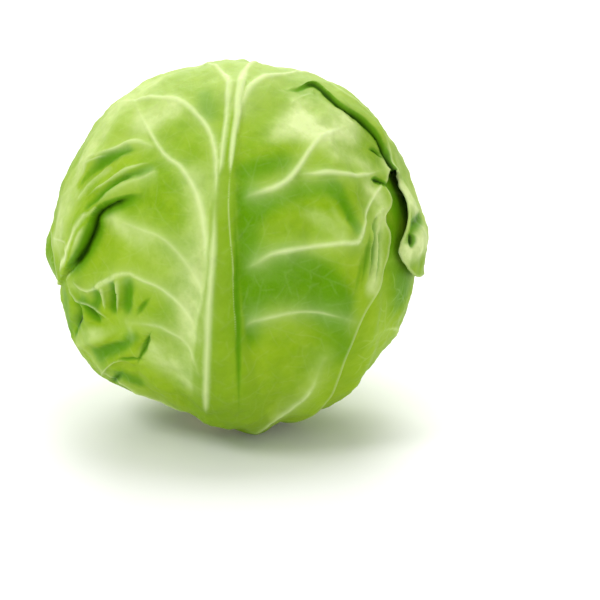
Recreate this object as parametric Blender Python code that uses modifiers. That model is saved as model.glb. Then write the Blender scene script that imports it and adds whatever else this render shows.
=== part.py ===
"""Head of green cabbage standing on its cut stalk: heart, five wrapper leaves and the stalk.

Metres, +Z up. The front of the head faces -Y. The origin is under the middle of the head's box, on the
surface that it stands on. A leaf is laid out in its own plane, in degrees of arc on the head: x runs to
the right and y towards the leaf's tip, as someone looking at the head's middle from outside sees them.
"""

import math

import bmesh
import bpy
import numpy as np
from mathutils import Vector
from mathutils.geometry import delaunay_2d_cdt

MM = 0.001

# Heart, which the wrapper leaves lie on
HEART_SIDE = 79.0 * MM
HEART_DEEP = 75.5 * MM
HEART_TOP = 75.5 * MM
HEART_BOTTOM = 79.0 * MM
HEART_FLOOR = 74.0 * MM
CENTRE_HEIGHT = 87.4 * MM
SHOULDER = 1.77
# Where the heart's outline, seen from the front, is fuller or flatter:
# degrees up from the right, height, sharpness
HEART_LEANS = ((24.0, -3.4 * MM, 6), (114.0, 2.6 * MM, 12), (144.0, -2.6 * MM, 12))

# Stalk
STALK_RADIUS = 17.5 * MM
STALK_FLARE = 19.0 * MM
STALK_TOP = 15.2 * MM
STALK_EDGE = 1.2 * MM

# Leaves
BLADE = 1.1 * MM
GAP = 1.1 * MM
MOST_THICKNESS = 16.0 * MM
COVER_SPREAD = 20.0
EXPOSED_SPREAD = 12.0
FILL_SPREAD = 22.0
RIB_ROOM = 4.5

# The middle of the head and the half width and half height of its outline in the photograph, in pixels
SEEN_CENTRE = (235.5, 240.0)
SEEN_HALF_WIDTH = 188.0
SEEN_HALF_HEIGHT = 181.0
SEEN_ELEVATION = 18.0


def seen(px, py, out=1.0):
    """Front leaf's plane point that shows at a pixel of the photograph, on a head out times as large."""
    u = (px - SEEN_CENTRE[0]) / SEEN_HALF_WIDTH / out
    v = (SEEN_CENTRE[1] - py) / SEEN_HALF_HEIGHT / out
    reach = max(math.hypot(u, v), 1e-6)
    arc = math.degrees(math.asin(min(reach, 0.999)))
    return (arc * u / reach, arc * v / reach)


FRONT_LEAF = {
    "name": "leaf_front",
    "azimuth": 0.0,
    "elevation": SEEN_ELEVATION,
    "outline": [
        (-12, -91), (-50, -91), (-84, -76), (-100, -56), (-93, -34),
        seen(57, 279), seen(54, 264), seen(50, 243), (-90, 10), (-99, 32),
        (-97, 58), (-76, 80), (-44, 86), (-8, 88), (24, 86),
        (56, 81), (84, 62), (97, 36), (103, 14), (101, -4),
        (91, -15), seen(421, 277, 1.04), seen(411, 269, 1.05), seen(405, 257, 1.05), seen(405, 245, 1.05),
        seen(411, 225, 1.05), seen(415, 203, 1.05), seen(408, 185, 1.04), seen(397, 172),
        seen(391, 181), seen(392, 203), seen(385, 219), seen(388, 241), seen(382, 259),
        seen(369, 292), (39, -38), (35, -57), (26, -77), (12, -91),
    ],
    "rib": [
        (-1, -91), seen(222, 350), seen(223, 300), seen(224, 230),
        seen(227, 165), seen(235, 105), (2, 68),
    ],
    "rib_half_width": (14.0, 4.4, 1.4),
    "rib_height": (6.0, 3.4, 0.6),
    "veins": [
        [seen(214, 235), seen(216, 190), seen(214, 145), seen(204, 122), seen(180, 102), seen(153, 99),
         (-62, 62)],
        [seen(209, 300), seen(207, 245), seen(198, 198), seen(180, 167), seen(157, 147), seen(131, 98)],
        [seen(206, 325), seen(202, 288), seen(187, 262), seen(163, 238), seen(140, 229), seen(101, 214)],
        [seen(204, 345), seen(190, 313), seen(166, 290), seen(140, 277), seen(121, 272), seen(88, 288),
         seen(66, 281)],
        [seen(203, 372), seen(190, 345), seen(167, 327), seen(150, 321), seen(124, 319)],
        [seen(239, 125), seen(244, 103), seen(253, 92), seen(270, 82), seen(288, 78), seen(305, 76),
         seen(335, 82)],
        [seen(238, 200), seen(262, 193), seen(283, 185), seen(297, 173), seen(313, 150), seen(325, 139),
         seen(357, 128)],
        [seen(295, 175), seen(325, 176), seen(352, 178), seen(370, 176), seen(387, 171)],
        [seen(238, 270), seen(257, 262), seen(273, 253), seen(309, 247), seen(345, 243), seen(358, 242),
         seen(368, 227), seen(382, 190)],
        [seen(240, 325), seen(257, 317), seen(297, 309), seen(333, 311), seen(350, 316)],
        [seen(237, 120), seen(241, 98), seen(252, 70), (16, 78)],
        [seen(228, 110), seen(230, 87), seen(205, 66), (-26, 74)],
        [seen(157, 147), seen(130, 140), seen(102, 151), seen(75, 162)],
        [seen(157, 169), seen(130, 181), seen(108, 193)],
        [(2, -84), (14, -74), (24, -58), (30, -40)],
        [(-5, -84), (-24, -76), (-48, -62), (-64, -42)],
    ],
    "vein_height": 2.0,
    "vein_width": 2.3,
    "vein_rows": (-2.3, 0.0, 2.3),
    "folds": [
        {
            "path": [seen(143, 193), seen(128, 194), seen(112, 198), seen(97, 205), seen(90, 213),
                     seen(88, 224), seen(83, 240), seen(76, 254), seen(67, 266), seen(57, 279)],
            "raise": 4.4, "dip": 1.8, "overhang": 1.9, "reach": 12.0, "dip_reach": 6.0,
            "swell": (0.0, 0.75, 1.0, 0.9, 0.5), "side": -1.0,
        },
        {
            "path": [seen(288, 92), seen(300, 91), seen(312, 88), seen(321, 92), seen(341, 110),
                     seen(360, 122), seen(377, 139), seen(391, 158), seen(398, 172)],
            "raise": 3.0, "dip": 2.0, "overhang": 2.0, "reach": 6.0, "dip_reach": 6.0,
            "swell": (0.0, 0.5, 0.7, 0.9, 1.0), "side": 1.0,
        },
    ],
    "pinches": [
        {"path": [seen(68, 290), seen(75, 308), seen(72, 330)], "depth": 2.4, "width": 2.6},
        {"path": [seen(150, 329), seen(144, 342), seen(136, 356)], "depth": 1.5, "width": 2.2},
        {"path": [seen(374, 182), seen(387, 185), seen(396, 195)], "depth": 1.2, "width": 2.0},
    ],
    "swells": [
        {"at": seen(283, 222), "size": 17.0, "height": 1.6},
        {"at": seen(300, 285), "size": 15.0, "height": 1.6},
        {"at": seen(345, 215), "size": 8.0, "height": -1.2},
        {"at": seen(318, 120), "size": 13.0, "height": 1.4},
        {"at": seen(170, 205), "size": 14.0, "height": 1.2},
        {"at": seen(150, 245), "size": 12.0, "height": 1.2},
        {"at": seen(90, 365), "size": 20.0, "height": 2.4},
        {"at": seen(105, 300), "size": 7.0, "height": -1.6},
    ],
    "fill": 2.8,
    "lift": 1.2,
    "wave": (0.8, 11, 0.4),
    "wing": {"at": seen(418, 235, 1.05), "size": 17.0, "height": 4.8, "from": (57.0, 62.0)},
    "spacing": 6.2,
}

RIGHT_LEAF = {
    "name": "leaf_right",
    "azimuth": 112.0,
    "elevation": 4.0,
    "half_width": 74.0,
    "tip": 62.0,
    "base": -78.0,
    "lean": 4.0,
    "fill": 2.4,
    "lift": 3.0,
    "wave": (1.8, 9, 1.1),
    "spacing": 7.4,
}

BACK_LEAF = {
    "name": "leaf_back",
    "azimuth": 220.0,
    "elevation": 4.0,
    "half_width": 78.0,
    "tip": 58.0,
    "base": -78.0,
    "lean": -5.0,
    "fill": 2.0,
    "lift": 3.0,
    "wave": (2.0, 10, 2.3),
    "swells": [{"at": (41, -8), "size": 12.0, "height": 8.0}],
    "spacing": 7.4,
}

CROWN_LEAF = {
    "name": "leaf_crown",
    "azimuth": 168.0,
    "elevation": 22.0,
    "half_width": 70.0,
    "tip": 84.0,
    "base": -94.0,
    "lean": 8.0,
    "fill": 1.4,
    "lift": 1.6,
    "wave": (1.6, 9, 0.2),
    "spacing": 9.5,
}

INNER_LEAF = {
    "name": "leaf_inner",
    "azimuth": 42.0,
    "elevation": 14.0,
    "half_width": 66.0,
    "tip": 80.0,
    "base": -86.0,
    "lean": -6.0,
    "fill": 1.0,
    "lift": 1.4,
    "wave": (1.5, 9, 3.0),
    "spacing": 10.5,
}

# Innermost first
LEAVES = [INNER_LEAF, CROWN_LEAF, BACK_LEAF, RIGHT_LEAF, FRONT_LEAF]

LEAF_GREEN = (0.36, 0.56, 0.12)
INNER_GREEN = (0.55, 0.68, 0.25)
STALK_CREAM = (0.80, 0.80, 0.58)


def smooth(low, high, x):
    t = np.clip((x - low) / (high - low), 0.0, 1.0)
    return t * t * (3.0 - 2.0 * t)


def larger(a, b, blend):
    """The larger of two heights, rounded where they cross."""
    return 0.5 * (a + b + np.sqrt((a - b) ** 2 + blend * blend))


def plain_outline(leaf):
    """Spoon-shaped outline of a wrapper leaf, from its base at the stalk round to its tip and back."""
    wide, tip, base, lean = leaf["half_width"], leaf["tip"], leaf["base"], leaf["lean"]
    half = [
        (12.0, base), (0.52 * wide, base + 5), (0.88 * wide, base + 24), (1.00 * wide, base + 50),
        (1.00 * wide, 4), (0.93 * wide, tip - 34), (0.68 * wide, tip - 12), (0.32 * wide, tip - 2),
    ]
    left = [(-x + lean * smooth(base, tip, y), y) for x, y in half]
    right = [(x + lean * smooth(base, tip, y), y) for x, y in reversed(half)]
    return left + right


def plain_veins(leaf):
    """Side veins that leave the rib in pairs and bend up to the margin."""
    wide, tip, base = leaf["half_width"], leaf["tip"], leaf["base"]
    veins = []
    for step in range(4):
        start = base + 28 + step * (tip - base - 44) / 4
        for side in (-1, 1):
            rise = start + 5 * side
            reach = side * wide * (0.92 - 0.05 * step)
            veins.append([
                (side * 1.5, rise), (0.22 * reach, rise + 13),
                (0.55 * reach, rise + 25), (0.9 * reach, rise + 30 + 3 * step),
            ])
    return veins


def finish_leaf(leaf):
    """Fills in what a plain leaf doesn't state."""
    if "outline" not in leaf:
        leaf["outline"] = plain_outline(leaf)
        leaf["rib"] = [(0, leaf["base"]), (0.5 * leaf["lean"], 0), (leaf["lean"], leaf["tip"] - 10)]
        leaf["veins"] = plain_veins(leaf)
        leaf["rib_half_width"] = (13.0, 4.2, 1.3)
        leaf["rib_height"] = (6.0, 3.4, 0.6)
        leaf["vein_height"] = 1.7
        leaf["vein_width"] = 2.6
        leaf["vein_rows"] = (0.0,)
        leaf["folds"] = []
        leaf["pinches"] = []
        leaf.setdefault("swells", [])
    leaf["edge"] = waved(leaf)


def closed_curve(points, count):
    """Points at even steps round a smooth closed curve through the given ones (Catmull and Rom)."""
    ring = np.array(points, float)
    fine = []
    for i in range(len(ring)):
        a, b, c, d = (ring[(i + k) % len(ring)] for k in (-1, 0, 1, 2))
        for t in np.linspace(0, 1, 12, endpoint=False):
            fine.append(0.5 * (2 * b + (c - a) * t + (2 * a - 5 * b + 4 * c - d) * t**2
                               + (3 * b - 3 * c + d - a) * t**3))
    return even_steps(np.array(fine + [fine[0]]), count + 1)[:-1]


def open_curve(points, count):
    """Points at even steps along a smooth open curve through the given ones."""
    line = np.array(points, float)
    line = np.vstack([2 * line[0] - line[1], line, 2 * line[-1] - line[-2]])
    fine = []
    for i in range(1, len(line) - 2):
        a, b, c, d = line[i - 1:i + 3]
        for t in np.linspace(0, 1, 12, endpoint=False):
            fine.append(0.5 * (2 * b + (c - a) * t + (2 * a - 5 * b + 4 * c - d) * t**2
                               + (3 * b - 3 * c + d - a) * t**3))
    return even_steps(np.array(fine + [line[-2]]), count)


def even_steps(line, count):
    length = np.concatenate([[0], np.cumsum(np.hypot(*np.diff(line, axis=0).T))])
    at = np.linspace(0, length[-1], count)
    return np.stack([np.interp(at, length, line[:, k]) for k in (0, 1)], 1)


def waved(leaf):
    """The leaf's margin in its plane: its outline with shallow waves."""
    depth, count, phase = leaf["wave"]
    ring = closed_curve(leaf["outline"], 220)
    ahead = np.roll(ring, -1, 0) - np.roll(ring, 1, 0)
    outward = np.stack([-ahead[:, 1], ahead[:, 0]], 1) / np.linalg.norm(ahead, axis=1)[:, None]
    turn = np.linspace(0, 2 * math.pi, len(ring), endpoint=False)
    wave = np.sin(count * turn + phase) + 0.5 * np.sin((2 * count + 3) * turn + 2 * phase)
    upper = smooth(leaf["outline"][0][1] + 15, leaf["outline"][0][1] + 45, ring[:, 1])
    return ring + outward * (depth * wave * upper)[:, None]


def near_line(points, line, closed=False):
    """For each point: distance to the line, place along it from 0 to 1, side (positive on its left)."""
    if closed:
        line = np.vstack([line, line[:1]])
    start, step = line[:-1], np.diff(line, axis=0)
    length = np.maximum(np.hypot(*step.T), 1e-9)
    passed = np.concatenate([[0], np.cumsum(length)])
    best = np.full(len(points), 1e9)
    place, side = np.zeros(len(points)), np.ones(len(points))
    for i in range(len(start)):
        off = points - start[i]
        t = np.clip((off @ step[i]) / length[i] ** 2, 0, 1)
        gap = off - t[:, None] * step[i]
        distance = np.hypot(*gap.T)
        closer = distance < best
        best[closer] = distance[closer]
        place[closer] = ((passed[i] + t * length[i]) / passed[-1])[closer]
        turn = step[i][0] * off[:, 1] - step[i][1] * off[:, 0]
        side[closer] = np.sign(turn)[closer]
    return best, place, side


def inside(points, ring):
    """Degrees from the margin, positive inside the leaf."""
    distance, place, _ = near_line(points, ring, closed=True)
    crossings = np.zeros(len(points), int)
    for a, b in zip(ring, np.roll(ring, -1, 0)):
        spans = (a[1] > points[:, 1]) != (b[1] > points[:, 1])
        rise = b[1] - a[1] if b[1] != a[1] else 1e-9
        crossings += spans & (points[:, 0] < a[0] + (points[:, 1] - a[1]) * (b[0] - a[0]) / rise)
    return np.where(crossings % 2 == 1, distance, -distance), place


def axes_of(leaf):
    """Unit directions of the leaf's middle, its right and its tip side."""
    turn, rise = math.radians(leaf["azimuth"]), math.radians(leaf["elevation"])
    middle = np.array([math.sin(turn) * math.cos(rise), -math.cos(turn) * math.cos(rise), math.sin(rise)])
    right = np.array([math.cos(turn), math.sin(turn), 0.0])
    return middle, right, np.cross(middle, right)


def to_directions(leaf, plane):
    middle, right, up = axes_of(leaf)
    reach = np.maximum(np.hypot(*plane.T), 1e-9)
    arc = np.radians(reach)
    across = (plane[:, :1] * right + plane[:, 1:] * up) / reach[:, None]
    return np.cos(arc)[:, None] * middle + np.sin(arc)[:, None] * across


def to_plane(leaf, directions):
    middle, right, up = axes_of(leaf)
    arc = np.degrees(np.arccos(np.clip(directions @ middle, -1, 1)))
    x, y = directions @ right, directions @ up
    reach = np.maximum(np.hypot(x, y), 1e-9)
    return np.stack([arc * x / reach, arc * y / reach], 1)


def outline_side(degrees):
    """Direction from the head's middle to its outline seen from the front, turned up from the right."""
    turn, tilt = math.radians(degrees), math.radians(SEEN_ELEVATION)
    return np.array([math.cos(turn), math.sin(turn) * math.sin(tilt), math.sin(turn) * math.cos(tilt)])


def heart_radius(d):
    """Distance from the head's middle to the heart's surface: a ball with a flat floor and soft lumps."""
    level = np.hypot(d[:, 0] / HEART_SIDE, d[:, 1] / HEART_DEEP)
    upright = np.abs(d[:, 2]) / np.where(d[:, 2] > 0, HEART_TOP, HEART_BOTTOM)
    power = np.where(d[:, 2] > 0, SHOULDER, 2.0)
    ball = (level**power + upright**power) ** (-1 / power)
    floor = HEART_FLOOR / np.maximum(-d[:, 2], 0.2)
    lumps = 0.9 * np.sin(3.1 * d[:, 0] + 1.0) * np.cos(2.3 * d[:, 1] - 0.6) * np.cos(2.7 * d[:, 2])
    leans = np.zeros(len(d))
    for turn, height, sharpness in HEART_LEANS:
        leans += height * np.maximum(d @ outline_side(turn), 0) ** sharpness
    return -larger(-ball, -floor, 9 * MM) + lumps * MM + leans


def along(values, place):
    return np.interp(place, np.linspace(0, 1, len(values)), values)


def rib_height(leaf, plane, room=0.0):
    """Height of the midrib over the blade, in metres: a broad ridge that thins out to the tip.

    With some room, the crest is that many degrees wider to each side, as a leaf that lies over it needs.
    """
    distance, place, _ = near_line(plane, leaf["rib_line"])
    half = along(leaf["rib_half_width"], place)
    height = along(leaf["rib_height"], place)
    beside = np.maximum(distance - room, 0) / half
    return height * MM * smooth(1.7, 0.6, beside) * smooth(1.0, 0.96, place)


def vein_height(leaf, plane):
    """Height of the side veins: each a tent, sharp at its crest."""
    height = np.zeros(len(plane))
    for line in leaf["vein_lines"]:
        distance, place, _ = near_line(plane, line)
        fade = smooth(0, 0.12, place) * (1 - 0.55 * place)
        height = np.maximum(height, fade * np.exp(-distance / leaf["vein_width"]))
    return leaf["vein_height"] * MM * height


def fold_shift(leaf, plane):
    """Rise of the folds, in metres, and the sideways shift that makes their lips overhang, in degrees."""
    rise, shift = np.zeros(len(plane)), np.zeros_like(plane)
    for fold, line in zip(leaf["folds"], leaf["fold_lines"]):
        distance, place, side = near_line(plane, line)
        upper = side * fold["side"]
        swell = along(fold["swell"], place)
        signed = distance * upper
        wall = smooth(-0.9, 0.9, signed)
        lip = np.exp(-np.maximum(signed, 0) / fold["reach"])
        dip = np.exp(-np.maximum(-signed, 0) / fold["dip_reach"]) * smooth(1.0, 0.6, place)
        rise += swell * MM * (fold["raise"] * wall * lip - fold["dip"] * (1 - wall) * dip)
        ahead = np.gradient(line, axis=0)
        normal = np.stack([-ahead[:, 1], ahead[:, 0]], 1) / np.linalg.norm(ahead, axis=1)[:, None]
        at = np.linspace(0, 1, len(line))
        leftward = np.stack([np.interp(place, at, normal[:, k]) for k in (0, 1)], 1) * fold["side"]
        push = swell * fold["overhang"] * np.exp(-np.abs(signed) / 5.0) * wall
        shift -= leftward * push[:, None]
    return rise, shift


def pinch_depth(leaf, plane):
    depth = np.zeros(len(plane))
    for pinch, line in zip(leaf["pinches"], leaf["pinch_lines"]):
        distance, place, _ = near_line(plane, line)
        fade = smooth(0, 0.3, place) * smooth(1, 0.7, place)
        depth += pinch["depth"] * MM * fade * np.exp(-((distance / pinch["width"]) ** 2))
    return depth


def swelling(leaf, plane):
    height = np.zeros(len(plane))
    for swell in leaf["swells"]:
        away = np.hypot(*(plane - np.array(swell["at"])).T) / swell["size"]
        height += swell["height"] * MM * np.exp(-(away**2))
    return height


def margin_lift(leaf, depth_in, place):
    """Rise of the leaf's edge off what it lies on, in waves along the margin."""
    _, count, phase = leaf["wave"]
    curl = np.clip(1 - depth_in / 11.0, 0, 1) ** 2
    waves = 0.55 + 0.45 * np.sin(2 * math.pi * count * 0.8 * place + 2 * phase)
    return leaf["lift"] * MM * curl * waves


def outer_height(leaf, directions, below):
    """Height of the leaf's outer face over the heart, without its loose edges, from what lies below."""
    plane = to_plane(leaf, directions)
    depth_in, _ = inside(plane, leaf["edge"])
    fill = leaf["fill"] * MM * smooth(0, FILL_SPREAD, depth_in)
    return below + GAP + BLADE + fill, depth_in, plane


def stack(directions, top):
    """What lies under the leaf numbered top: its height over the heart at each direction."""
    below = np.zeros(len(directions))
    for leaf in LEAVES[:top]:
        height, depth_in, plane = outer_height(leaf, directions, below)
        cover = smooth(-COVER_SPREAD, -1.0, depth_in)
        below = larger(below, (height + rib_height(leaf, plane, RIB_ROOM)) * cover, 0.25 * MM)
    return below


def exposure(directions, number):
    """1 where no leaf lies over this one, and 0 under the others and along their margins."""
    free = np.ones(len(directions))
    for leaf in LEAVES[number + 1:]:
        depth_in, _ = inside(to_plane(leaf, directions), leaf["edge"])
        free = np.minimum(free, smooth(0.5, EXPOSED_SPREAD, -depth_in))
    return free


def inner_face(number, plane):
    """Points of the leaf's inner face, and the thickness of the leaf over each."""
    leaf = LEAVES[number]
    rise, shift = fold_shift(leaf, plane)
    moved = plane + shift
    directions = to_directions(leaf, moved)
    free = exposure(directions, number)
    outer, _, _ = outer_height(leaf, directions, stack(directions, number))
    depth_in, place = inside(plane, leaf["edge"])
    loose = margin_lift(leaf, np.maximum(depth_in, 0), place)
    loose += swelling(leaf, plane) - pinch_depth(leaf, plane)
    if "wing" in leaf:
        wing = leaf["wing"]
        away = np.hypot(*(plane - np.array(wing["at"])).T) / wing["size"]
        loose += wing["height"] * MM * np.exp(-(away**2)) * smooth(*wing["from"], plane[:, 0])
    radius = heart_radius(directions) + outer - BLADE + rise + free * loose
    thickness = BLADE + rib_height(leaf, plane) + free * vein_height(leaf, plane)
    return directions * radius[:, None], thickness


def rows_beside(line, offsets):
    """Copies of a line moved sideways."""
    ahead = np.gradient(line, axis=0)
    normal = np.stack([-ahead[:, 1], ahead[:, 0]], 1) / np.linalg.norm(ahead, axis=1)[:, None]
    return [line + normal * offset for offset in offsets]


def line_count(points, step):
    line = open_curve(points, 60)
    return max(3, int(np.hypot(*np.diff(line, axis=0).T).sum() / step) + 1)


def plane_points(leaf):
    """Points to triangulate in the leaf's plane: margin, rows along ribs, veins and folds, a field."""
    spacing = leaf["spacing"]
    edge = leaf["edge"]
    around = np.hypot(*np.diff(np.vstack([edge, edge[:1]]), axis=0).T).sum()
    margin = even_steps(np.vstack([edge, edge[:1]]), int(around / (0.72 * spacing)) + 1)[:-1]
    rows = []
    for fold in leaf["folds"]:
        line = open_curve(fold["path"], line_count(fold["path"], 0.6 * spacing))
        rows += rows_beside(line, (-3.4, -1.0, 0.0, 1.0, 3.6))
    for pinch in leaf["pinches"]:
        line = open_curve(pinch["path"], line_count(pinch["path"], 0.6 * spacing))
        rows += rows_beside(line, (-2.6, 0.0, 2.6))
    rib = open_curve(leaf["rib"], line_count(leaf["rib"], 0.9 * spacing))
    taper = along(leaf["rib_half_width"], np.linspace(0, 1, len(rib)))
    for share in (-1.5, -0.7, 0.0, 0.7, 1.5):
        ahead = np.gradient(rib, axis=0)
        normal = np.stack([-ahead[:, 1], ahead[:, 0]], 1) / np.linalg.norm(ahead, axis=1)[:, None]
        rows.append(rib + normal * (share * taper)[:, None])
    for vein in leaf["veins"]:
        rows += rows_beside(open_curve(vein, line_count(vein, 0.85 * spacing)), leaf["vein_rows"])
    kept = margin
    for row in rows:
        kept = add_clear(kept, row, edge, 0.22 * spacing, 0.18 * spacing)
    side = np.arange(-120, 120, spacing)
    across, up = np.meshgrid(side, side * math.sqrt(0.75))
    across[1::2] += spacing / 2
    field = np.stack([across.ravel(), up.ravel()], 1)
    return margin, add_clear(kept, field, edge, 0.62 * spacing, 0.55 * spacing)[len(margin):]


def add_clear(kept, new, edge, clear, margin_clear):
    """Adds the new points that lie inside the margin and clear of those already kept."""
    depth_in, _ = inside(new, edge)
    for point in new[depth_in > margin_clear]:
        if np.hypot(*(kept - point).T).min() > clear:
            kept = np.vstack([kept, point])
    return kept


def triangulate(margin, field):
    points = [Vector(p) for p in np.vstack([margin, field])]
    made = delaunay_2d_cdt(points, [], [list(range(len(margin)))], 1, 1e-4)
    return np.array([tuple(p) for p in made[0]]), [tuple(face) for face in made[2]]


def add_object(name, mesh, material, collection):
    obj = bpy.data.objects.new(name, mesh)
    mesh.materials.append(material)
    collection.objects.link(obj)
    return obj


def make_material(name, colour, roughness):
    material = bpy.data.materials.new(name)
    material.use_nodes = True
    shader = material.node_tree.nodes["Principled BSDF"]
    shader.inputs["Base Color"].default_value = (*colour, 1.0)
    shader.inputs["Roughness"].default_value = roughness
    shader.inputs["Metallic"].default_value = 0.0
    return material


def make_leaf(number, material, collection):
    """A leaf: its inner face as an open surface, thickened outwards by blade, veins and rib."""
    leaf = LEAVES[number]
    margin, field = plane_points(leaf)
    plane, faces = triangulate(margin, field)
    points, thickness = inner_face(number, plane)
    points[:, 2] += CENTRE_HEIGHT
    mesh = bpy.data.meshes.new(leaf["name"])
    mesh.from_pydata(points.tolist(), [], faces)
    mesh.validate()
    obj = add_object(leaf["name"], mesh, material, collection)
    mesh.shade_smooth()
    group = obj.vertex_groups.new(name="thickness")
    for index, value in enumerate(thickness):
        group.add([index], float(value / MOST_THICKNESS), "REPLACE")
    shell = obj.modifiers.new("Solidify", "SOLIDIFY")
    shell.thickness = MOST_THICKNESS
    shell.offset = 1.0
    shell.vertex_group = "thickness"
    return obj


def make_heart(material, collection):
    mesh = bpy.data.meshes.new("heart")
    ball = bmesh.new()
    bmesh.ops.create_uvsphere(ball, u_segments=36, v_segments=20, radius=1.0)
    directions = np.array([v.co.normalized() for v in ball.verts])
    radius = heart_radius(directions)
    for vert, direction, reach in zip(ball.verts, directions, radius):
        vert.co = Vector(direction * reach) + Vector((0, 0, CENTRE_HEIGHT))
    bmesh.ops.triangulate(ball, faces=ball.faces)
    ball.to_mesh(mesh)
    ball.free()
    mesh.shade_smooth()
    return add_object("heart", mesh, material, collection)


def make_stalk(material, collection):
    mesh = bpy.data.meshes.new("stalk")
    stem = bmesh.new()
    bmesh.ops.create_cone(stem, cap_ends=True, segments=28, radius1=STALK_RADIUS, radius2=STALK_FLARE,
                          depth=STALK_TOP)
    bmesh.ops.translate(stem, verts=stem.verts, vec=(0, 0, STALK_TOP / 2))
    stem.to_mesh(mesh)
    stem.free()
    obj = add_object("stalk", mesh, material, collection)
    edge = obj.modifiers.new("Bevel", "BEVEL")
    edge.width = STALK_EDGE
    edge.segments = 2
    edge.limit_method = "ANGLE"
    return obj


def centre_over_origin(objects):
    """Moves the meshes so that the box of the whole head stands centred on the origin."""
    bpy.context.view_layer.update()
    graph = bpy.context.evaluated_depsgraph_get()
    corners = [o.matrix_world @ Vector(c) for o in objects for c in o.evaluated_get(graph).bound_box]
    low = Vector([min(c[k] for c in corners) for k in range(3)])
    high = Vector([max(c[k] for c in corners) for k in range(3)])
    move = Vector((-(low.x + high.x) / 2, -(low.y + high.y) / 2, -low.z))
    for obj in objects:
        obj.location = move


def main():
    for obj in list(bpy.data.objects):
        bpy.data.objects.remove(obj)
    collection = bpy.data.collections.new("cabbage_head")
    bpy.context.scene.collection.children.link(collection)
    leaf_green = make_material("leaf_green", LEAF_GREEN, 0.5)
    inner_green = make_material("inner_green", INNER_GREEN, 0.5)
    stalk_cream = make_material("stalk_cream", STALK_CREAM, 0.6)
    for leaf in LEAVES:
        finish_leaf(leaf)
        leaf["rib_line"] = open_curve(leaf["rib"], 40)
        leaf["vein_lines"] = [open_curve(vein, 24) for vein in leaf["veins"]]
        leaf["fold_lines"] = [open_curve(fold["path"], 40) for fold in leaf["folds"]]
        leaf["pinch_lines"] = [open_curve(pinch["path"], 16) for pinch in leaf["pinches"]]
    objects = [make_stalk(stalk_cream, collection), make_heart(inner_green, collection)]
    for number in range(len(LEAVES)):
        objects.append(make_leaf(number, leaf_green if number else inner_green, collection))
    centre_over_origin(objects)


main()
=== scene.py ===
import bpy
import math
import numpy as np
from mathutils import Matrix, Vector
from mathutils.geometry import delaunay_2d_cdt


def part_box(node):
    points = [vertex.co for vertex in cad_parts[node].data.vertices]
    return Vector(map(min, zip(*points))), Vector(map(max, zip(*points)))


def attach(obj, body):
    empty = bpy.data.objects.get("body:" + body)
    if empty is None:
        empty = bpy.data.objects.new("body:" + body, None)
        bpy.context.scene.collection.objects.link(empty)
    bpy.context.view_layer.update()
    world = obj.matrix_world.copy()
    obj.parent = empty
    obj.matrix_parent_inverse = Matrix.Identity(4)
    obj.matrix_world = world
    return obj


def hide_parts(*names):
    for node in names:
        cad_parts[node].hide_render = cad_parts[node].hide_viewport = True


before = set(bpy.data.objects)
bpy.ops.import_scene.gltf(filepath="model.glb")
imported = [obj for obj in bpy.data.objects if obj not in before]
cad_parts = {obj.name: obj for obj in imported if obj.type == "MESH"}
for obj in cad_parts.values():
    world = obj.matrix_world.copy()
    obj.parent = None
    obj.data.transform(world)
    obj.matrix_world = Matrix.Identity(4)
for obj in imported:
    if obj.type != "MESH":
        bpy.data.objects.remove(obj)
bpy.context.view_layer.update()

mm = 0.001

# The head: sizes in millimetres, spreads in degrees of arc, as the solids have them
headValues = {
    "side": 79.0, "deep": 75.5, "top": 75.5, "bottom": 79.0, "floor": 74.0, "middleHeight": 87.4,
    "shoulder": 1.77, "lump": 0.9, "leans": ((24.0, -3.4, 6), (114.0, 2.6, 12), (144.0, -2.6, 12)),
    "blade": 1.1, "gap": 1.1, "coverSpread": 20.0, "exposedSpread": 12.0, "fillSpread": 22.0, "ribRoom": 4.5,
    "floorRoom": 0.7, "curlReach": 11.0, "ruffleReach": 9.0, "ruffleLength": 13.0,
}
# Where the head stands in the photograph, in its pixels, and the camera's degrees above level
seenValues = {"middleX": 235.5, "middleY": 240.0, "halfWidth": 188.0, "halfHeight": 181.0, "elevation": 18.0}

stalkLow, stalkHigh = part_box("stalk")
headMiddle = np.array([(stalkLow[0] + stalkHigh[0]) / 2, (stalkLow[1] + stalkHigh[1]) / 2,
                       headValues["middleHeight"] * mm])


def seen(px, py, out=1.0):
    # Front leaf's plane point that shows at a pixel of the photograph
    u = (px - seenValues["middleX"]) / seenValues["halfWidth"] / out
    v = (seenValues["middleY"] - py) / seenValues["halfHeight"] / out
    reach = max(math.hypot(u, v), 1e-6)
    arc = math.degrees(math.asin(min(reach, 0.999)))
    return (arc * u / reach, arc * v / reach)


def trace(*pixels, out=1.0):
    return [seen(x, y, out) for x, y in pixels]


def strokes(names, rows, out=1.0):
    # A dictionary for each row, which holds the named values and then the pixels of a path
    return [{**dict(zip(names, row)), "path": trace(*row[len(names):], out=out)} for row in rows]


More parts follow.
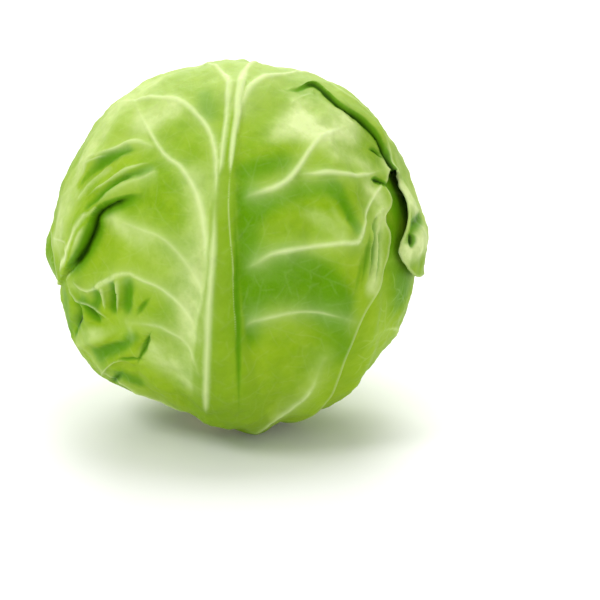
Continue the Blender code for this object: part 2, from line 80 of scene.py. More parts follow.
frontLeaf = {
    "name": "leafFront", "node": "leaf_front", "azimuth": 0.0, "elevation": 18.0,
    "outline": [
        (-12, -91), (-50, -91), (-84, -76), (-100, -56), (-93, -34), *trace((57, 279), (54, 264), (50, 243)),
        (-90, 10), (-99, 32), (-97, 58), (-76, 80), (-44, 86), (-8, 88), (24, 86), (56, 81), (84, 62),
        (97, 36), (103, 14), (101, -4), (91, -15), seen(421, 277, 1.04), *trace((411, 269), (405, 257),
        (405, 245), (411, 225), (415, 203), out=1.05), seen(408, 185, 1.04), *trace((397, 172), (391, 181),
        (392, 203), (385, 219), (388, 241), (382, 259), (369, 292)), (39, -38), (35, -57), (26, -77),
        (12, -91),
    ],
    "rib": [(-1, -91), *trace((222, 350), (223, 300), (224, 230), (227, 165), (235, 105)), (2, 68)],
    "ribHalfWidth": (14.0, 4.4, 1.4), "ribHeight": (6.0, 3.4, 0.6),
    "veins": [
        [*trace((214, 235), (216, 190), (214, 145), (204, 122), (180, 102), (153, 99)), (-62, 62)],
        trace((209, 300), (207, 245), (198, 198), (180, 167), (157, 147), (131, 98)),
        trace((206, 325), (202, 288), (187, 262), (163, 238), (140, 229), (101, 214)),
        trace((204, 345), (190, 313), (166, 290), (140, 277), (121, 272), (88, 288), (66, 281)),
        trace((203, 372), (190, 345), (167, 327), (150, 321), (124, 319)),
        trace((239, 125), (244, 103), (253, 92), (270, 82), (288, 78), (305, 76), (335, 82)),
        trace((238, 200), (262, 193), (283, 185), (297, 173), (313, 150), (325, 139), (357, 128)),
        trace((295, 175), (325, 176), (352, 178), (370, 176), (387, 171)),
        trace((238, 270), (257, 262), (273, 253), (309, 247), (340, 243), (350, 243.5), (353, 242),
         (362, 227), (369, 211), (378, 195), (385, 188)),
        trace((240, 325), (257, 317), (297, 309), (333, 311), (350, 316)),
        [*trace((237, 120), (241, 98), (252, 70)), (16, 78)],
        [*trace((228, 110), (230, 87), (205, 66)), (-26, 74)],
        trace((157, 147), (130, 140), (102, 151), (75, 162)),
        trace((157, 169), (130, 181), (108, 193)),
        [(2, -84), (14, -74), (24, -58), (30, -40)],
        [(-5, -84), (-24, -76), (-48, -62), (-64, -42)],
        trace((247, 207), (257, 203), (280, 213), (297, 222)),
        trace((260, 267), (273, 266), (287, 272), (303, 280), (317, 293), (330, 307)),
        trace((288, 113), (297, 103), (307, 98), (320, 97)),
        trace((260, 127), (268, 140), (275, 150)),
    ],
    "veinHeight": 2.0, "veinWidth": 2.3, "veinsInSolid": 16, "veinRise": 0.25,
    "veinStrengths": (0.7, 0.65, 0.42, 0.55, 0.45, 0.75, 0.78, 0.72, 0.68, 0.5, 0.8, 0.7, 0.55, 0.4, 0.6,
                      0.6, 0.24, 0.22, 0.4, 0.16),
    "veinSizes": (0.9, 1, 0.9, 0.65, 0.75, 0.95, 0.8, 0.6, 0.65, 0.5, 0.95, 0.9, 0.7, 0.6, 0.8, 0.8, 0.2,
                  0.25, 0.4, 0.1),
    "ribLines": strokes(("widths", "strength"), [
        ((2.7, 2.4, 2.0), 0.72, (206, 408), (207, 372), (210, 300),
         (214, 250), (216, 207), (218, 183), (221, 167)),
        ((1.6, 2.4, 1.6), 0.75, (217, 190), (221, 167), (224, 140),
         (228, 110), (230, 87), (225, 78), (213, 69), (198, 64)),
        ((0.7, 0.7, 1.0), 0.5, (236, 345), (234, 283), (231, 242),
         (229, 205), (231, 170), (234, 140)),
        ((1.0, 2.5, 2.3), 0.9, (230, 185), (231, 170), (234, 140),
         (238, 118), (240, 98), (244, 82), (252, 70), (263, 64)),
        ((0.9, 1.3, 1.4, 1.2), 0.72, (330, 244), (350, 243.5),
         (353, 242), (362, 227), (369, 211), (378, 195), (388, 184), (396, 176)),
    ]),
    # A crease's shade is the painted shade that darkens it
    "creases": strokes(("depth", "width", "shade"), [
        (0.8, 0.9, 0.55, (238, 412), (238, 300), (236, 240), (234, 200), (234, 170)),
        (2.8, 2.5, 1.0, (62, 280), (71, 296), (77, 310), (75, 324), (71, 338)),
        (1.8, 1.7, 0.75, (78, 299), (88, 310), (99, 324)),
        (1.0, 1.6, 0.4, (94, 284), (93, 306)),
        (2.0, 1.5, 0.6, (112, 272), (110, 294), (106, 318)),
        (1.5, 1.8, 0.5, (130, 272), (126, 294), (119, 320)),
        (1.3, 1.0, 0.5, (152, 293), (142, 303), (133, 316)),
        (1.4, 0.8, 0.75, (156, 322), (148, 332), (142, 344), (137, 355), (132, 366)),
        (0.9, 0.7, 0.6, (147, 358), (136, 357), (124, 357), (110, 355)),
        (1.6, 2.2, 0.45, (92, 352), (106, 346), (122, 343), (138, 330)),
        (1.8, 1.4, 0.8, (112, 390), (113, 376), (122, 367)),
        (1.6, 1.8, 0.5, (142, 146), (114, 152), (94, 162), (74, 186)),
        (1.4, 1.3, 0.5, (152, 166), (124, 176), (102, 190), (78, 214)),
        (1.2, 0.8, 0.9, (371, 150), (381, 152), (391, 161)),
        (0.9, 0.9, 1.0, (371, 183), (379, 180), (389, 185), (396, 193)),
    ]) + strokes(("depth", "width", "shade"), [
        (3.0, 2.4, 0.7, (436, 213), (424, 220), (416, 226), (411, 238), (410, 252)),
        (1.2, 1.6, 1.0, (414, 230), (411, 240), (411, 251)),
    ], out=1.05) + strokes(("depth", "width", "shade"), [
        (0.6, 1.6, 0.8, (382, 142), (391, 158), (397, 174), (402, 190)),
        (1.3, 2.0, 0.35, (334, 190), (345, 210), (355, 236)),
        (1.4, 0.9, 0.45, (380, 205), (375, 228), (369, 250), (360, 288)),
        (1.1, 0.9, 0.4, (370, 222), (364, 250), (352, 292)),
        (0.9, 0.8, 0.35, (384, 215), (380, 235), (374, 262), (366, 290)),
        (0.8, 1.1, 0.3, (362, 246), (355, 268), (345, 298)),
    ]),
    # Strokes above 0 are pale wax bloom and painted highlight; strokes below 0 are painted shade in valleys,
    # hollows and beside the rib
    "tones": strokes(("width", "pale"), [  # Paler above 0, deeper green below 0
        (11.0, 0.55, (80, 160), (105, 118), (150, 85)),
        (6.0, 0.6, (140, 122), (170, 108)),
        (9.0, 0.3, (195, 62), (235, 64), (300, 70)),
        (6.5, 0.75, (300, 122), (322, 134), (350, 134)),
        (4.5, 0.35, (300, 102), (322, 108), (345, 120)),
        (6.0, 0.4, (280, 135), (305, 128)),
        (4.0, 0.4, (335, 158), (372, 167)),
        (4.0, 0.55, (372, 190), (383, 205), (377, 240), (366, 285)),
        (3.6, 0.3, (305, 205), (338, 235)),
        (2.4, 0.9, (322, 78), (345, 93), (366, 109), (381, 126), (390, 140)),
        (2.5, -0.7, (397, 160), (404, 178)),
        (9.0, 0.6, (62, 200), (56, 232)),
        (1.5, 0.7, (93, 205), (84, 214), (80, 223), (76, 237), (70, 250), (62, 262)),
        (9.0, 0.25, (140, 225), (180, 280), (190, 340)),
        (4.0, 0.35, (108, 218), (140, 237)),
        (6.0, 0.4, (196, 175), (201, 240), (195, 330)),
        (7.0, 0.5, (150, 350), (190, 375)),
        (3.5, 0.25, (84, 328), (112, 330)),
        (4.5, -0.8, (246, 170), (285, 161)),
        (6.0, -0.95, (246, 200), (246, 330)),
        (4.0, -0.7, (262, 206), (300, 194), (330, 188)),
        (2.6, -0.9, (336, 194), (345, 208), (354, 230)),
        (6.0, -1.0, (288, 262), (318, 272), (334, 298)),
        (7.0, -0.7, (275, 288), (325, 310), (340, 340)),
        (4.5, -0.75, (205, 97), (207, 112)),
        (2.6, -1.0, (124, 148), (106, 154), (90, 163), (76, 180)),
        (2.0, -0.9, (146, 168), (124, 177), (104, 190), (86, 206)),
        (1.2, 0.3, (104, 165), (90, 178), (76, 196)),
        (3.0, 0.2, (66, 345), (80, 337), (96, 328)),
        (2.4, -0.9, (127, 280), (124, 306)),
        (2.0, -1.0, (111, 282), (108, 308)),
        (1.8, -0.9, (94, 288), (93, 304)),
        (3.5, -0.9, (120, 371), (134, 380)),
        (2.6, -1.0, (82, 298), (94, 314)),
        (3.2, -0.9, (98, 350), (116, 345), (132, 334)),
        (3.0, -0.4, (95, 348), (105, 362)),
        (5.0, -0.25, (134, 210), (160, 215)),
        (5.0, -0.7, (62, 296), (70, 325)),
    ]) + strokes(("width", "pale"), [
        (6.0, 0.85, (404, 162), (412, 190), (421, 212)),
        (5.0, 0.9, (408, 252), (424, 240)),
    ], out=1.05) + [{"width": 15.0, "pale": 0.4, "path": [(78, 46), (88, 22), (88, 0)]}],
    "ridges": strokes(("height", "width", "soft"), [
        (1.6, 1.5, 0, (64, 276), (75, 282), (88, 288), (101, 280), (118, 273), (136, 275)),
        (2.1, 1.4, 0, (62, 270), (67, 283), (75, 296), (88, 302), (100, 313), (118, 329)),
        (2.0, 1.2, 0, (102, 276), (100, 294), (102, 314)),
        (2.2, 1.2, 0, (120, 268), (117, 291), (113, 318)),
        (0.9, 1.1, 0, (110, 152), (92, 158), (76, 166)),
        (1.2, 0.8, 1, (384, 200), (378, 225), (372, 252), (362, 290)),
        (1.1, 0.8, 1, (374, 222), (367, 248), (356, 290)),
        (1.2, 1.5, 0, (93, 211), (85, 228), (80, 243), (73, 259), (63, 277)),
        (0.8, 0.9, 0, (82, 256), (74, 266), (66, 275), (60, 283)),
        (1.0, 1.1, 0, (51, 237), (62, 239), (70, 243), (66, 256)),
        (1.6, 3.0, 1, (78, 338), (98, 334), (118, 328)),
        (0.9, 2.0, 1, (124, 316), (131, 329), (128, 346)),
        (1.3, 1.5, 0, (102, 369), (109, 360), (120, 358), (138, 366)),
        (1.0, 1.6, 0, (157, 147), (150, 143), (130, 140), (102, 151), (75, 162)),
        (1.5, 1.3, 0, (160, 156), (150, 160), (128, 168), (108, 179), (90, 191), (77, 203)),
        (1.0, 1.2, 1, (114, 149), (101, 165), (87, 180), (72, 204)),
        (1.1, 1.5, 1, (142, 176), (113, 190), (97, 202), (87, 213)),
        (0.9, 1.8, 1, (325, 200), (337, 220), (352, 241)),
        (0.9, 1.2, 0, (386, 208), (379, 214), (374, 224)),
        (0.5, 0.9, 0, (306, 80), (322, 84), (344, 101), (364, 115), (381, 134), (395, 155)),
    ]),
    # A fold's dark widths and its shades along it set the painted shade at the foot of its wall and on the
    # wall
    "folds": [
        {"raise": 4.4, "dip": 1.8, "overhang": 1.9, "reach": 12.0, "dipReach": 6.0, "dark": (3.8, 0.8),
         "shades": (0.0, 0.9, 1.0, 1.0, 1.0, 0.15, 0.1), "swell": (0.0, 0.75, 1.0, 0.9, 0.5), "side": -1.0,
         "roll": 0.6, "groove": 1.5, "path": trace((143, 193), (128, 194), (112, 198), (97, 205), (90, 213),
         (88, 224), (83, 240), (76, 254), (67, 266), (57, 279))},
        {"raise": 3.0, "dip": 2.0, "overhang": 2.0, "reach": 6.0, "dipReach": 6.0, "dark": (0.8, 0.8),
         "shades": (0.2, 0.9, 1.0, 1.0, 1.0, 1.0), "swell": (0.0, 0.5, 0.7, 0.9, 1.0), "side": 1.0,
         "roll": 0.5, "groove": 0.9, "path": trace((288, 92), (300, 91), (312, 88), (321, 92), (341, 110),
         (360, 122), (377, 139), (391, 158), (398, 172))},
    ],
    "pinches": strokes(("depth", "width"), [
        (2.4, 2.6, (68, 290), (75, 308), (72, 330)),
        (1.5, 2.2, (150, 329), (144, 342), (136, 356)),
        (1.2, 2.0, (374, 182), (387, 185), (396, 195)),
    ]),
    "swells": [{"at": seen(x, y), "size": size, "height": height} for x, y, size, height in (
        (283, 222, 17.0, 1.6), (300, 285, 15.0, 1.6), (345, 215, 8.0, -1.2), (318, 120, 13.0, 1.4),
        (170, 205, 14.0, 1.2), (150, 245, 12.0, 1.2), (90, 365, 20.0, 2.4), (105, 300, 7.0, -1.6),
    )],
    "fill": 2.8, "lift": 1.2, "wave": (0.8, 11, 0.4), "spacing": 1.2, "seed": 4, "ruffle": 0.9,
    "wing": {"at": seen(418, 235, 1.05), "size": 17.0, "height": 4.8, "from": (57.0, 62.0)},
}

rightLeaf = {
    "name": "leafRight", "node": "leaf_right", "azimuth": 112.0, "elevation": 4.0,
    "halfWidth": 74.0, "tip": 62.0, "base": -78.0, "lean": 4.0,
    "fill": 2.4, "lift": 3.0, "wave": (1.8, 9, 1.1), "spacing": 1.5, "seed": 11, "ruffle": 0.8,
    # Painted shade where this leaf shows in the gap beneath the front leaf's margin
    "creases": strokes(("depth", "width", "shade"), [
        (1.5, 5.5, 0.66, (380, 143), (390, 158), (399, 180), (404, 203), (402, 226), (404, 243)),
        (1.5, 3.0, 0.8, (384, 240), (383, 258), (374, 280), (366, 300)),
    ]),
    # Painted shade where this leaf lies under the front leaf's margin
    "tones": strokes(("width", "pale"), [
        (9.0, -1.0, (395, 240), (402, 262), (405, 290)),
    ]),
}
backLeaf = {
    "name": "leafBack", "node": "leaf_back", "azimuth": 220.0, "elevation": 4.0,
    "halfWidth": 78.0, "tip": 58.0, "base": -78.0, "lean": -5.0,
    "fill": 2.0, "lift": 3.0, "wave": (2.0, 10, 2.3), "spacing": 1.5, "seed": 23, "ruffle": 0.8,
    "swells": [{"at": (41, -8), "size": 12.0, "height": 8.0}],
    # Painted shade where this leaf peeks out beside the front leaf's left margin
    "tones": strokes(("width", "pale"), [
        (12.0, -0.6, (48, 235), (46, 262), (50, 285)),
    ]),
}
crownLeaf = {
    "name": "leafCrown", "node": "leaf_crown", "azimuth": 168.0, "elevation": 22.0,
    "halfWidth": 70.0, "tip": 84.0, "base": -94.0, "lean": 8.0,
    "fill": 1.4, "lift": 1.6, "wave": (1.6, 9, 0.2), "spacing": 2.0, "seed": 31, "ruffle": 0.5,
}
innerLeaf = {
    "name": "leafInner", "node": "leaf_inner", "azimuth": 42.0, "elevation": 14.0,
    "halfWidth": 66.0, "tip": 80.0, "base": -86.0, "lean": -6.0,
    "fill": 1.0, "lift": 1.4, "wave": (1.5, 9, 3.0), "spacing": 2.0, "seed": 47, "ruffle": 0.5,
}
leaves = [innerLeaf, crownLeaf, backLeaf, rightLeaf, frontLeaf]  # innermost first
plainRib = {
    "ribHalfWidth": (13.0, 4.2, 1.3), "ribHeight": (6.0, 3.4, 0.6),
    "veinHeight": 1.7, "veinWidth": 2.6, "veinRise": 0.06,
}
# Points along each kind of curve, and how far apart a sheet's points lie beside it, in degrees of arc
curveSteps = {"margin": 220, "rib": 40, "folds": 40, "ribLines": 40, "creases": 24, "ridges": 24, "tones": 24,
              "veins": 24, "pinches": 16}
meshRows = {
    "folds": (0.0, -0.5, 0.5, -1.0, 1.0, -1.7, 1.7), "pinches": (0.0, -0.9, 0.9),
    "creases": (0.0, -0.6, 0.6, -1.3, 1.3), "ridges": (0.0, -0.6, 0.6, -1.3, 1.3),
    "ribLines": (0.0, -0.5, 0.5), "rib": (0.0, -1.2, 1.2, -2.4, 2.4, -3.6, 3.6),
    "veins": (0.0, -0.55, 0.55, -1.2, 1.2), "thinVeins": (0.0, -0.45, 0.45),
}
# Thin veins in two generations, in degrees of arc
thinVeinValues = {
    "apart": (9.5, 6.5), "length": ((16, 34), (5, 12)), "widths": ((0.8, 0.4), (0.5, 0.3)),
    "turn": (42, 66), "bend": (0.008, 0.03), "wander": 0.07, "clear": 1.5, "cell": 2, "margin": 2.0,
}


def smooth(low, high, x):
    t = np.clip((x - low) / (high - low), 0.0, 1.0)
    return t * t * (3.0 - 2.0 * t)


def larger(a, b, blend):
    return 0.5 * (a + b + np.sqrt((a - b) ** 2 + blend * blend))


def bell(x):
    return np.exp(-(x**2))


def along(values, place):
    return np.interp(place, np.linspace(0, 1, len(values)), values)


# Curves in a leaf's plane
def evenSteps(line, count):
    length = np.concatenate([[0], np.cumsum(np.hypot(*np.diff(line, axis=0).T))])
    at = np.linspace(0, length[-1], count)
    return np.stack([np.interp(at, length, line[:, k]) for k in (0, 1)], 1)


def curvePoints(points, closed):
    line = np.array(points, float)
    if closed:
        line = np.vstack([line[-1], line, line[0], line[1]])
    else:
        line = np.vstack([2 * line[0] - line[1], line, 2 * line[-1] - line[-2]])
    fine = []
    for i in range(1, len(line) - 2):
        a, b, c, d = line[i - 1:i + 3]
        for t in np.linspace(0, 1, 12, endpoint=False):
            fine.append(0.5 * (2 * b + (c - a) * t + (2 * a - 5 * b + 4 * c - d) * t**2
                               + (3 * b - 3 * c + d - a) * t**3))
    fine.append(line[-2])
    return np.array(fine)


def closedCurve(points, count):
    return evenSteps(curvePoints(points, True), count + 1)[:-1]


def openCurve(points, count):
    return evenSteps(curvePoints(points, False), count)


def lineLength(line):
    return np.hypot(*np.diff(line, axis=0).T).sum()


def lineNormals(line):
    ahead = np.gradient(line, axis=0)
    return np.stack([-ahead[:, 1], ahead[:, 0]], 1) / np.maximum(np.linalg.norm(ahead, axis=1), 1e-9)[:, None]


def plainOutline(leaf):
    wide, tip, base, lean = leaf["halfWidth"], leaf["tip"], leaf["base"], leaf["lean"]
    half = [
        (12.0, base), (0.52 * wide, base + 5), (0.88 * wide, base + 24), (1.00 * wide, base + 50),
        (1.00 * wide, 4), (0.93 * wide, tip - 34), (0.68 * wide, tip - 12), (0.32 * wide, tip - 2),
    ]
    left = [(-x + lean * smooth(base, tip, y), y) for x, y in half]
    right = [(x + lean * smooth(base, tip, y), y) for x, y in reversed(half)]
    return left + right


def plainVeins(leaf):
    wide, tip, base = leaf["halfWidth"], leaf["tip"], leaf["base"]
    veins = []
    for step in range(4):
        start = base + 28 + step * (tip - base - 44) / 4
        for side in (-1, 1):
            rise = start + 5 * side
            reach = side * wide * (0.92 - 0.05 * step)
            veins.append([
                (side * 1.5, rise), (0.22 * reach, rise + 13),
                (0.55 * reach, rise + 25), (0.9 * reach, rise + 30 + 3 * step),
            ])
    return veins


def underFront(leaf, points):
    # The same places in another leaf's plane
    return [tuple(p) for p in toPlane(leaf, toDirections(frontLeaf, np.array(points, float)))]


def finishLeaf(leaf):
    if "outline" not in leaf:
        leaf["outline"] = plainOutline(leaf)
        leaf["rib"] = [(0, leaf["base"]), (0.5 * leaf["lean"], 0), (leaf["lean"], leaf["tip"] - 10)]
        leaf["veins"] = plainVeins(leaf)
        leaf.update(plainRib)
        leaf["veinsInSolid"] = len(leaf["veins"])
        leaf["veinSizes"] = (0.75,) * len(leaf["veins"])
        leaf["veinStrengths"] = (0.6,) * len(leaf["veins"])
        for name in ("folds", "pinches", "swells", "ribLines", "creases", "ridges", "tones"):
            leaf.setdefault(name, [])
        for feature in leaf["creases"] + leaf["tones"]:
            feature["path"] = underFront(leaf, feature["path"])
    depth, count, phase = leaf["wave"]
    ring = closedCurve(leaf["outline"], curveSteps["margin"])
    ahead = np.roll(ring, -1, 0) - np.roll(ring, 1, 0)
    outward = np.stack([-ahead[:, 1], ahead[:, 0]], 1) / np.linalg.norm(ahead, axis=1)[:, None]
    turn = np.linspace(0, 2 * math.pi, len(ring), endpoint=False)
    wave = np.sin(count * turn + phase) + 0.5 * np.sin((2 * count + 3) * turn + 2 * phase)
    upper = smooth(leaf["outline"][0][1] + 15, leaf["outline"][0][1] + 45, ring[:, 1])
    leaf["edge"] = ring + outward * (depth * wave * upper)[:, None]
    leaf["ribLine"] = openCurve(leaf["rib"], curveSteps["rib"])
    if not leaf["ribLines"]:
        half = along(leaf["ribHalfWidth"], np.linspace(0, 1, curveSteps["rib"]))[:, None]
        for side in (-0.8, 0.8):
            path = leaf["ribLine"] + side * half * lineNormals(leaf["ribLine"])
            leaf["ribLines"].append({"path": path[::4], "widths": (1.2, 1.0, 0.9), "strength": 0.7})
    leaf["veinLines"] = [openCurve(vein, curveSteps["veins"]) for vein in leaf["veins"]]
    for kind in ("folds", "pinches", "creases", "ridges", "tones", "ribLines"):
        for feature in leaf[kind]:
            feature["line"] = openCurve(feature["path"], curveSteps[kind])


def nearLine(points, line, closed=False):
    # Distance to a line, place along it from 0 to 1, and side, positive on its left
    if closed:
        line = np.vstack([line, line[:1]])
    start, step = line[:-1], np.diff(line, axis=0)
    length = np.maximum(np.hypot(*step.T), 1e-9)
    passed = np.concatenate([[0], np.cumsum(length)])
    best = np.full(len(points), 1e9)
    place, side = np.zeros(len(points)), np.ones(len(points))
    for i in range(len(start)):
        off = points - start[i]
        t = np.clip((off @ step[i]) / length[i] ** 2, 0, 1)
        distance = np.hypot(off[:, 0] - t * step[i][0], off[:, 1] - t * step[i][1])
        closer = distance < best
        best[closer] = distance[closer]
        place[closer] = ((passed[i] + t * length[i]) / passed[-1])[closer]
        side[closer] = np.sign(step[i][0] * off[:, 1] - step[i][1] * off[:, 0])[closer]
    return best, place, side


def inside(points, ring):
    # Degrees from the margin, positive inside the leaf
    distance, place, _ = nearLine(points, ring, closed=True)
    crossings = np.zeros(len(points), int)
    for a, b in zip(ring, np.roll(ring, -1, 0)):
        spans = (a[1] > points[:, 1]) != (b[1] > points[:, 1])
        rise = b[1] - a[1] if b[1] != a[1] else 1e-9
        crossings += spans & (points[:, 0] < a[0] + (points[:, 1] - a[1]) * (b[0] - a[0]) / rise)
    return np.where(crossings % 2 == 1, distance, -distance), place


# From a leaf's plane to directions on the head and back
def axesOf(leaf):
    turn, rise = math.radians(leaf["azimuth"]), math.radians(leaf["elevation"])
    middle = np.array([math.sin(turn) * math.cos(rise), -math.cos(turn) * math.cos(rise), math.sin(rise)])
    right = np.array([math.cos(turn), math.sin(turn), 0.0])
    return middle, right, np.cross(middle, right)


def toDirections(leaf, plane):
    middle, right, up = axesOf(leaf)
    reach = np.maximum(np.hypot(*plane.T), 1e-9)
    arc = np.radians(reach)
    across = (plane[:, :1] * right + plane[:, 1:] * up) / reach[:, None]
    return np.cos(arc)[:, None] * middle + np.sin(arc)[:, None] * across


def toPlane(leaf, directions):
    middle, right, up = axesOf(leaf)
    arc = np.degrees(np.arccos(np.clip(directions @ middle, -1, 1)))
    x, y = directions @ right, directions @ up
    reach = np.maximum(np.hypot(x, y), 1e-9)
    return np.stack([arc * x / reach, arc * y / reach], 1)


def seenSide(turn):
    # Direction of a point on the outline that the photograph shows, turned up from the right
    turn, tilt = math.radians(turn), math.radians(seenValues["elevation"])
    return np.array([math.cos(turn), math.sin(turn) * math.sin(tilt), math.sin(turn) * math.cos(tilt)])


def heartRadius(d):
    side, deep, top, bottom = (headValues[k] * mm for k in ("side", "deep", "top", "bottom"))
    level = np.hypot(d[:, 0] / side, d[:, 1] / deep)
    upright = np.abs(d[:, 2]) / np.where(d[:, 2] > 0, top, bottom)
    power = np.where(d[:, 2] > 0, headValues["shoulder"], 2.0)
    ball = (level**power + upright**power) ** (-1 / power)
    floor = headValues["floor"] * mm / np.maximum(-d[:, 2], 0.2)
    x, y, z = d.T
    lumps = headValues["lump"] * np.sin(3.1 * x + 1.0) * np.cos(2.3 * y - 0.6) * np.cos(2.7 * z)
    for turn, height, sharpness in headValues["leans"]:
        lumps += height * np.maximum(d @ seenSide(turn), 0) ** sharpness
    return -larger(-ball, -floor, 9 * mm) + lumps * mm


def ribHeight(leaf, plane, room=0.0):
    distance, place, _ = nearLine(plane, leaf["ribLine"])
    half = along(leaf["ribHalfWidth"], place)
    beside = np.maximum(distance - room, 0) / half
    return along(leaf["ribHeight"], place) * mm * smooth(1.7, 0.6, beside) * smooth(1.0, 0.96, place)


def foldShift(leaf, plane):
    # Rise of the folds, the sideways shift that makes their lips overhang, and the painted shade on and below
    # their walls
    rise, shift, shade = np.zeros(len(plane)), np.zeros_like(plane), np.zeros(len(plane))
    for fold in leaf["folds"]:
        line = fold["line"]
        distance, place, side = nearLine(plane, line)
        signed = distance * side * fold["side"]
        swell = along(fold["swell"], place)
        wall = smooth(-0.9, 0.9, signed)
        lip = np.exp(-np.maximum(signed, 0) / fold["reach"])
        dip = np.exp(-np.maximum(-signed, 0) / fold["dipReach"]) * smooth(1.0, 0.6, place)
        roll = fold["roll"] * wall * bell((signed - 2.4) / 2.0)
        groove = fold["groove"] * (1 - wall) * np.exp(-np.maximum(-signed, 0) / 1.6) * smooth(1.0, 0.6, place)
        rise += swell * mm * (fold["raise"] * wall * lip + roll - fold["dip"] * (1 - wall) * dip - groove)
        normal, at = lineNormals(line), np.linspace(0, 1, len(line))
        leftward = np.stack([np.interp(place, at, normal[:, k]) for k in (0, 1)], 1) * fold["side"]
        push = swell * fold["overhang"] * np.exp(-np.abs(signed) / 5.0) * wall
        shift -= leftward * push[:, None]
        base, face = fold["dark"]
        deep = np.where(signed < -0.8, bell((signed + 0.8) / base),
                        1 - 0.55 * smooth(-0.8, 0.7, signed)) * smooth(face, 0.5 * face, signed)
        shade = np.maximum(shade, along(fold["shades"], place) * deep)
    return rise, shift, shade


def beside(plane, feature, start, end):
    # Distance to a feature's line, and how the feature fades in and out along it
    distance, place, _ = nearLine(plane, feature["line"])
    return distance, smooth(0, start, place) * smooth(1, end, place)


def pinchDepth(leaf, plane):
    depth = np.zeros(len(plane))
    for pinch in leaf["pinches"]:
        distance, fade = beside(plane, pinch, 0.3, 0.7)
        depth += pinch["depth"] * mm * fade * bell(distance / pinch["width"])
    return depth


def smallForms(leaf, plane):
    # Narrow creases and ridges: their heights, the painted shade in the creases, and how pale the ridges'
    # crests are
    height, dark, pale = np.zeros(len(plane)), np.zeros(len(plane)), np.zeros(len(plane))
    for crease in leaf["creases"]:
        distance, fade = beside(plane, crease, 0.4, 0.6)
        shape = fade * bell(distance / crease["width"] / (0.3 + 0.7 * fade))
        height -= crease["depth"] * mm * shape
        dark = np.maximum(dark, crease["shade"] * shape)
    for ridge in leaf["ridges"]:
        distance, fade = beside(plane, ridge, 0.3, 0.65)
        if ridge["soft"]:
            shape = fade * bell(distance / ridge["width"])
            pale = np.maximum(pale, 0.35 * shape)
        else:
            shape = fade * np.exp(-distance / ridge["width"])
            pale = np.maximum(pale, 0.6 * fade * np.exp(-distance / 0.8))
        height += ridge["height"] * mm * shape
    return height, dark, pale


def bloomHighlightShadeOf(leaf, plane):
    # Pale wax bloom and painted highlight above 0, painted shade below 0
    tone = np.zeros(len(plane))
    for stroke in leaf["tones"]:
        distance, _, _ = nearLine(plane, stroke["line"])
        tone += stroke["pale"] * bell(distance / stroke["width"])
    return np.clip(tone, -1, 1)


def hill(plane, swell):
    return swell["height"] * mm * bell(np.hypot(*(plane - np.array(swell["at"])).T) / swell["size"])


def outerHeight(leaf, directions, below):
    plane = toPlane(leaf, directions)
    depthIn, _ = inside(plane, leaf["edge"])
    fill = leaf["fill"] * mm * smooth(0, headValues["fillSpread"], depthIn)
    return below + (headValues["gap"] + headValues["blade"]) * mm + fill, depthIn, plane


def stack(directions, top):
    below = np.zeros(len(directions))
    for leaf in leaves[:top]:
        height, depthIn, plane = outerHeight(leaf, directions, below)
        cover = smooth(-headValues["coverSpread"], -1.0, depthIn)
        below = larger(below, (height + ribHeight(leaf, plane, headValues["ribRoom"])) * cover, 0.25 * mm)
    return below


def exposure(directions, number):
    free = np.ones(len(directions))
    for leaf in leaves[number + 1:]:
        depthIn, _ = inside(toPlane(leaf, directions), leaf["edge"])
        free = np.minimum(free, smooth(0.5, headValues["exposedSpread"], -depthIn))
    return free


# What lies under and over a leaf changes slowly, so it is worked out on a grid and read from there
gridStep = 2.5
gridSide = np.arange(-130, 130.1, gridStep)
gridPlane = np.stack([a.ravel() for a in np.meshgrid(gridSide, gridSide)], 1)


def gridValue(field, plane):
    at = (plane - gridSide[0]) / gridStep
    cell = np.clip(np.floor(at).astype(int), 1, len(gridSide) - 3)
    part = at - cell
    weights = [((1 - t) ** 3, 3 * t**3 - 6 * t**2 + 4, -3 * t**3 + 3 * t**2 + 3 * t + 1, t**3)
               for t in part.T]
    total = np.zeros(len(plane))
    for j in range(4):
        for i in range(4):
            total += weights[0][i] * weights[1][j] / 36 * field[cell[:, 1] + j - 1, cell[:, 0] + i - 1]
    return total


def leafGrids(number):
    leaf = leaves[number]
    directions = toDirections(leaf, gridPlane)
    outer, _, _ = outerHeight(leaf, directions, stack(directions, number))
    shape = (len(gridSide), len(gridSide))
    leaf["outerGrid"] = outer.reshape(shape)
    leaf["freeGrid"] = exposure(directions, number).reshape(shape)
    leaf["depthGrid"] = inside(gridPlane, leaf["edge"])[0].reshape(shape)


def ruffles(leaf, depthIn, place):
    # Small waves that grow towards the margin, always outwards
    length = lineLength(np.vstack([leaf["edge"], leaf["edge"][:1]]))
    s, seed = place * length, leaf["seed"]
    wave = 0.5 + 0.5 * np.sin(2 * math.pi * s / headValues["ruffleLength"] + 1.6 * np.sin(s / 9.0) + seed)
    wave *= 0.6 + 0.4 * np.sin(s / 21.0 + seed)
    return leaf["ruffle"] * mm * wave * np.clip(1 - depthIn / headValues["ruffleReach"], 0, 1) ** 2


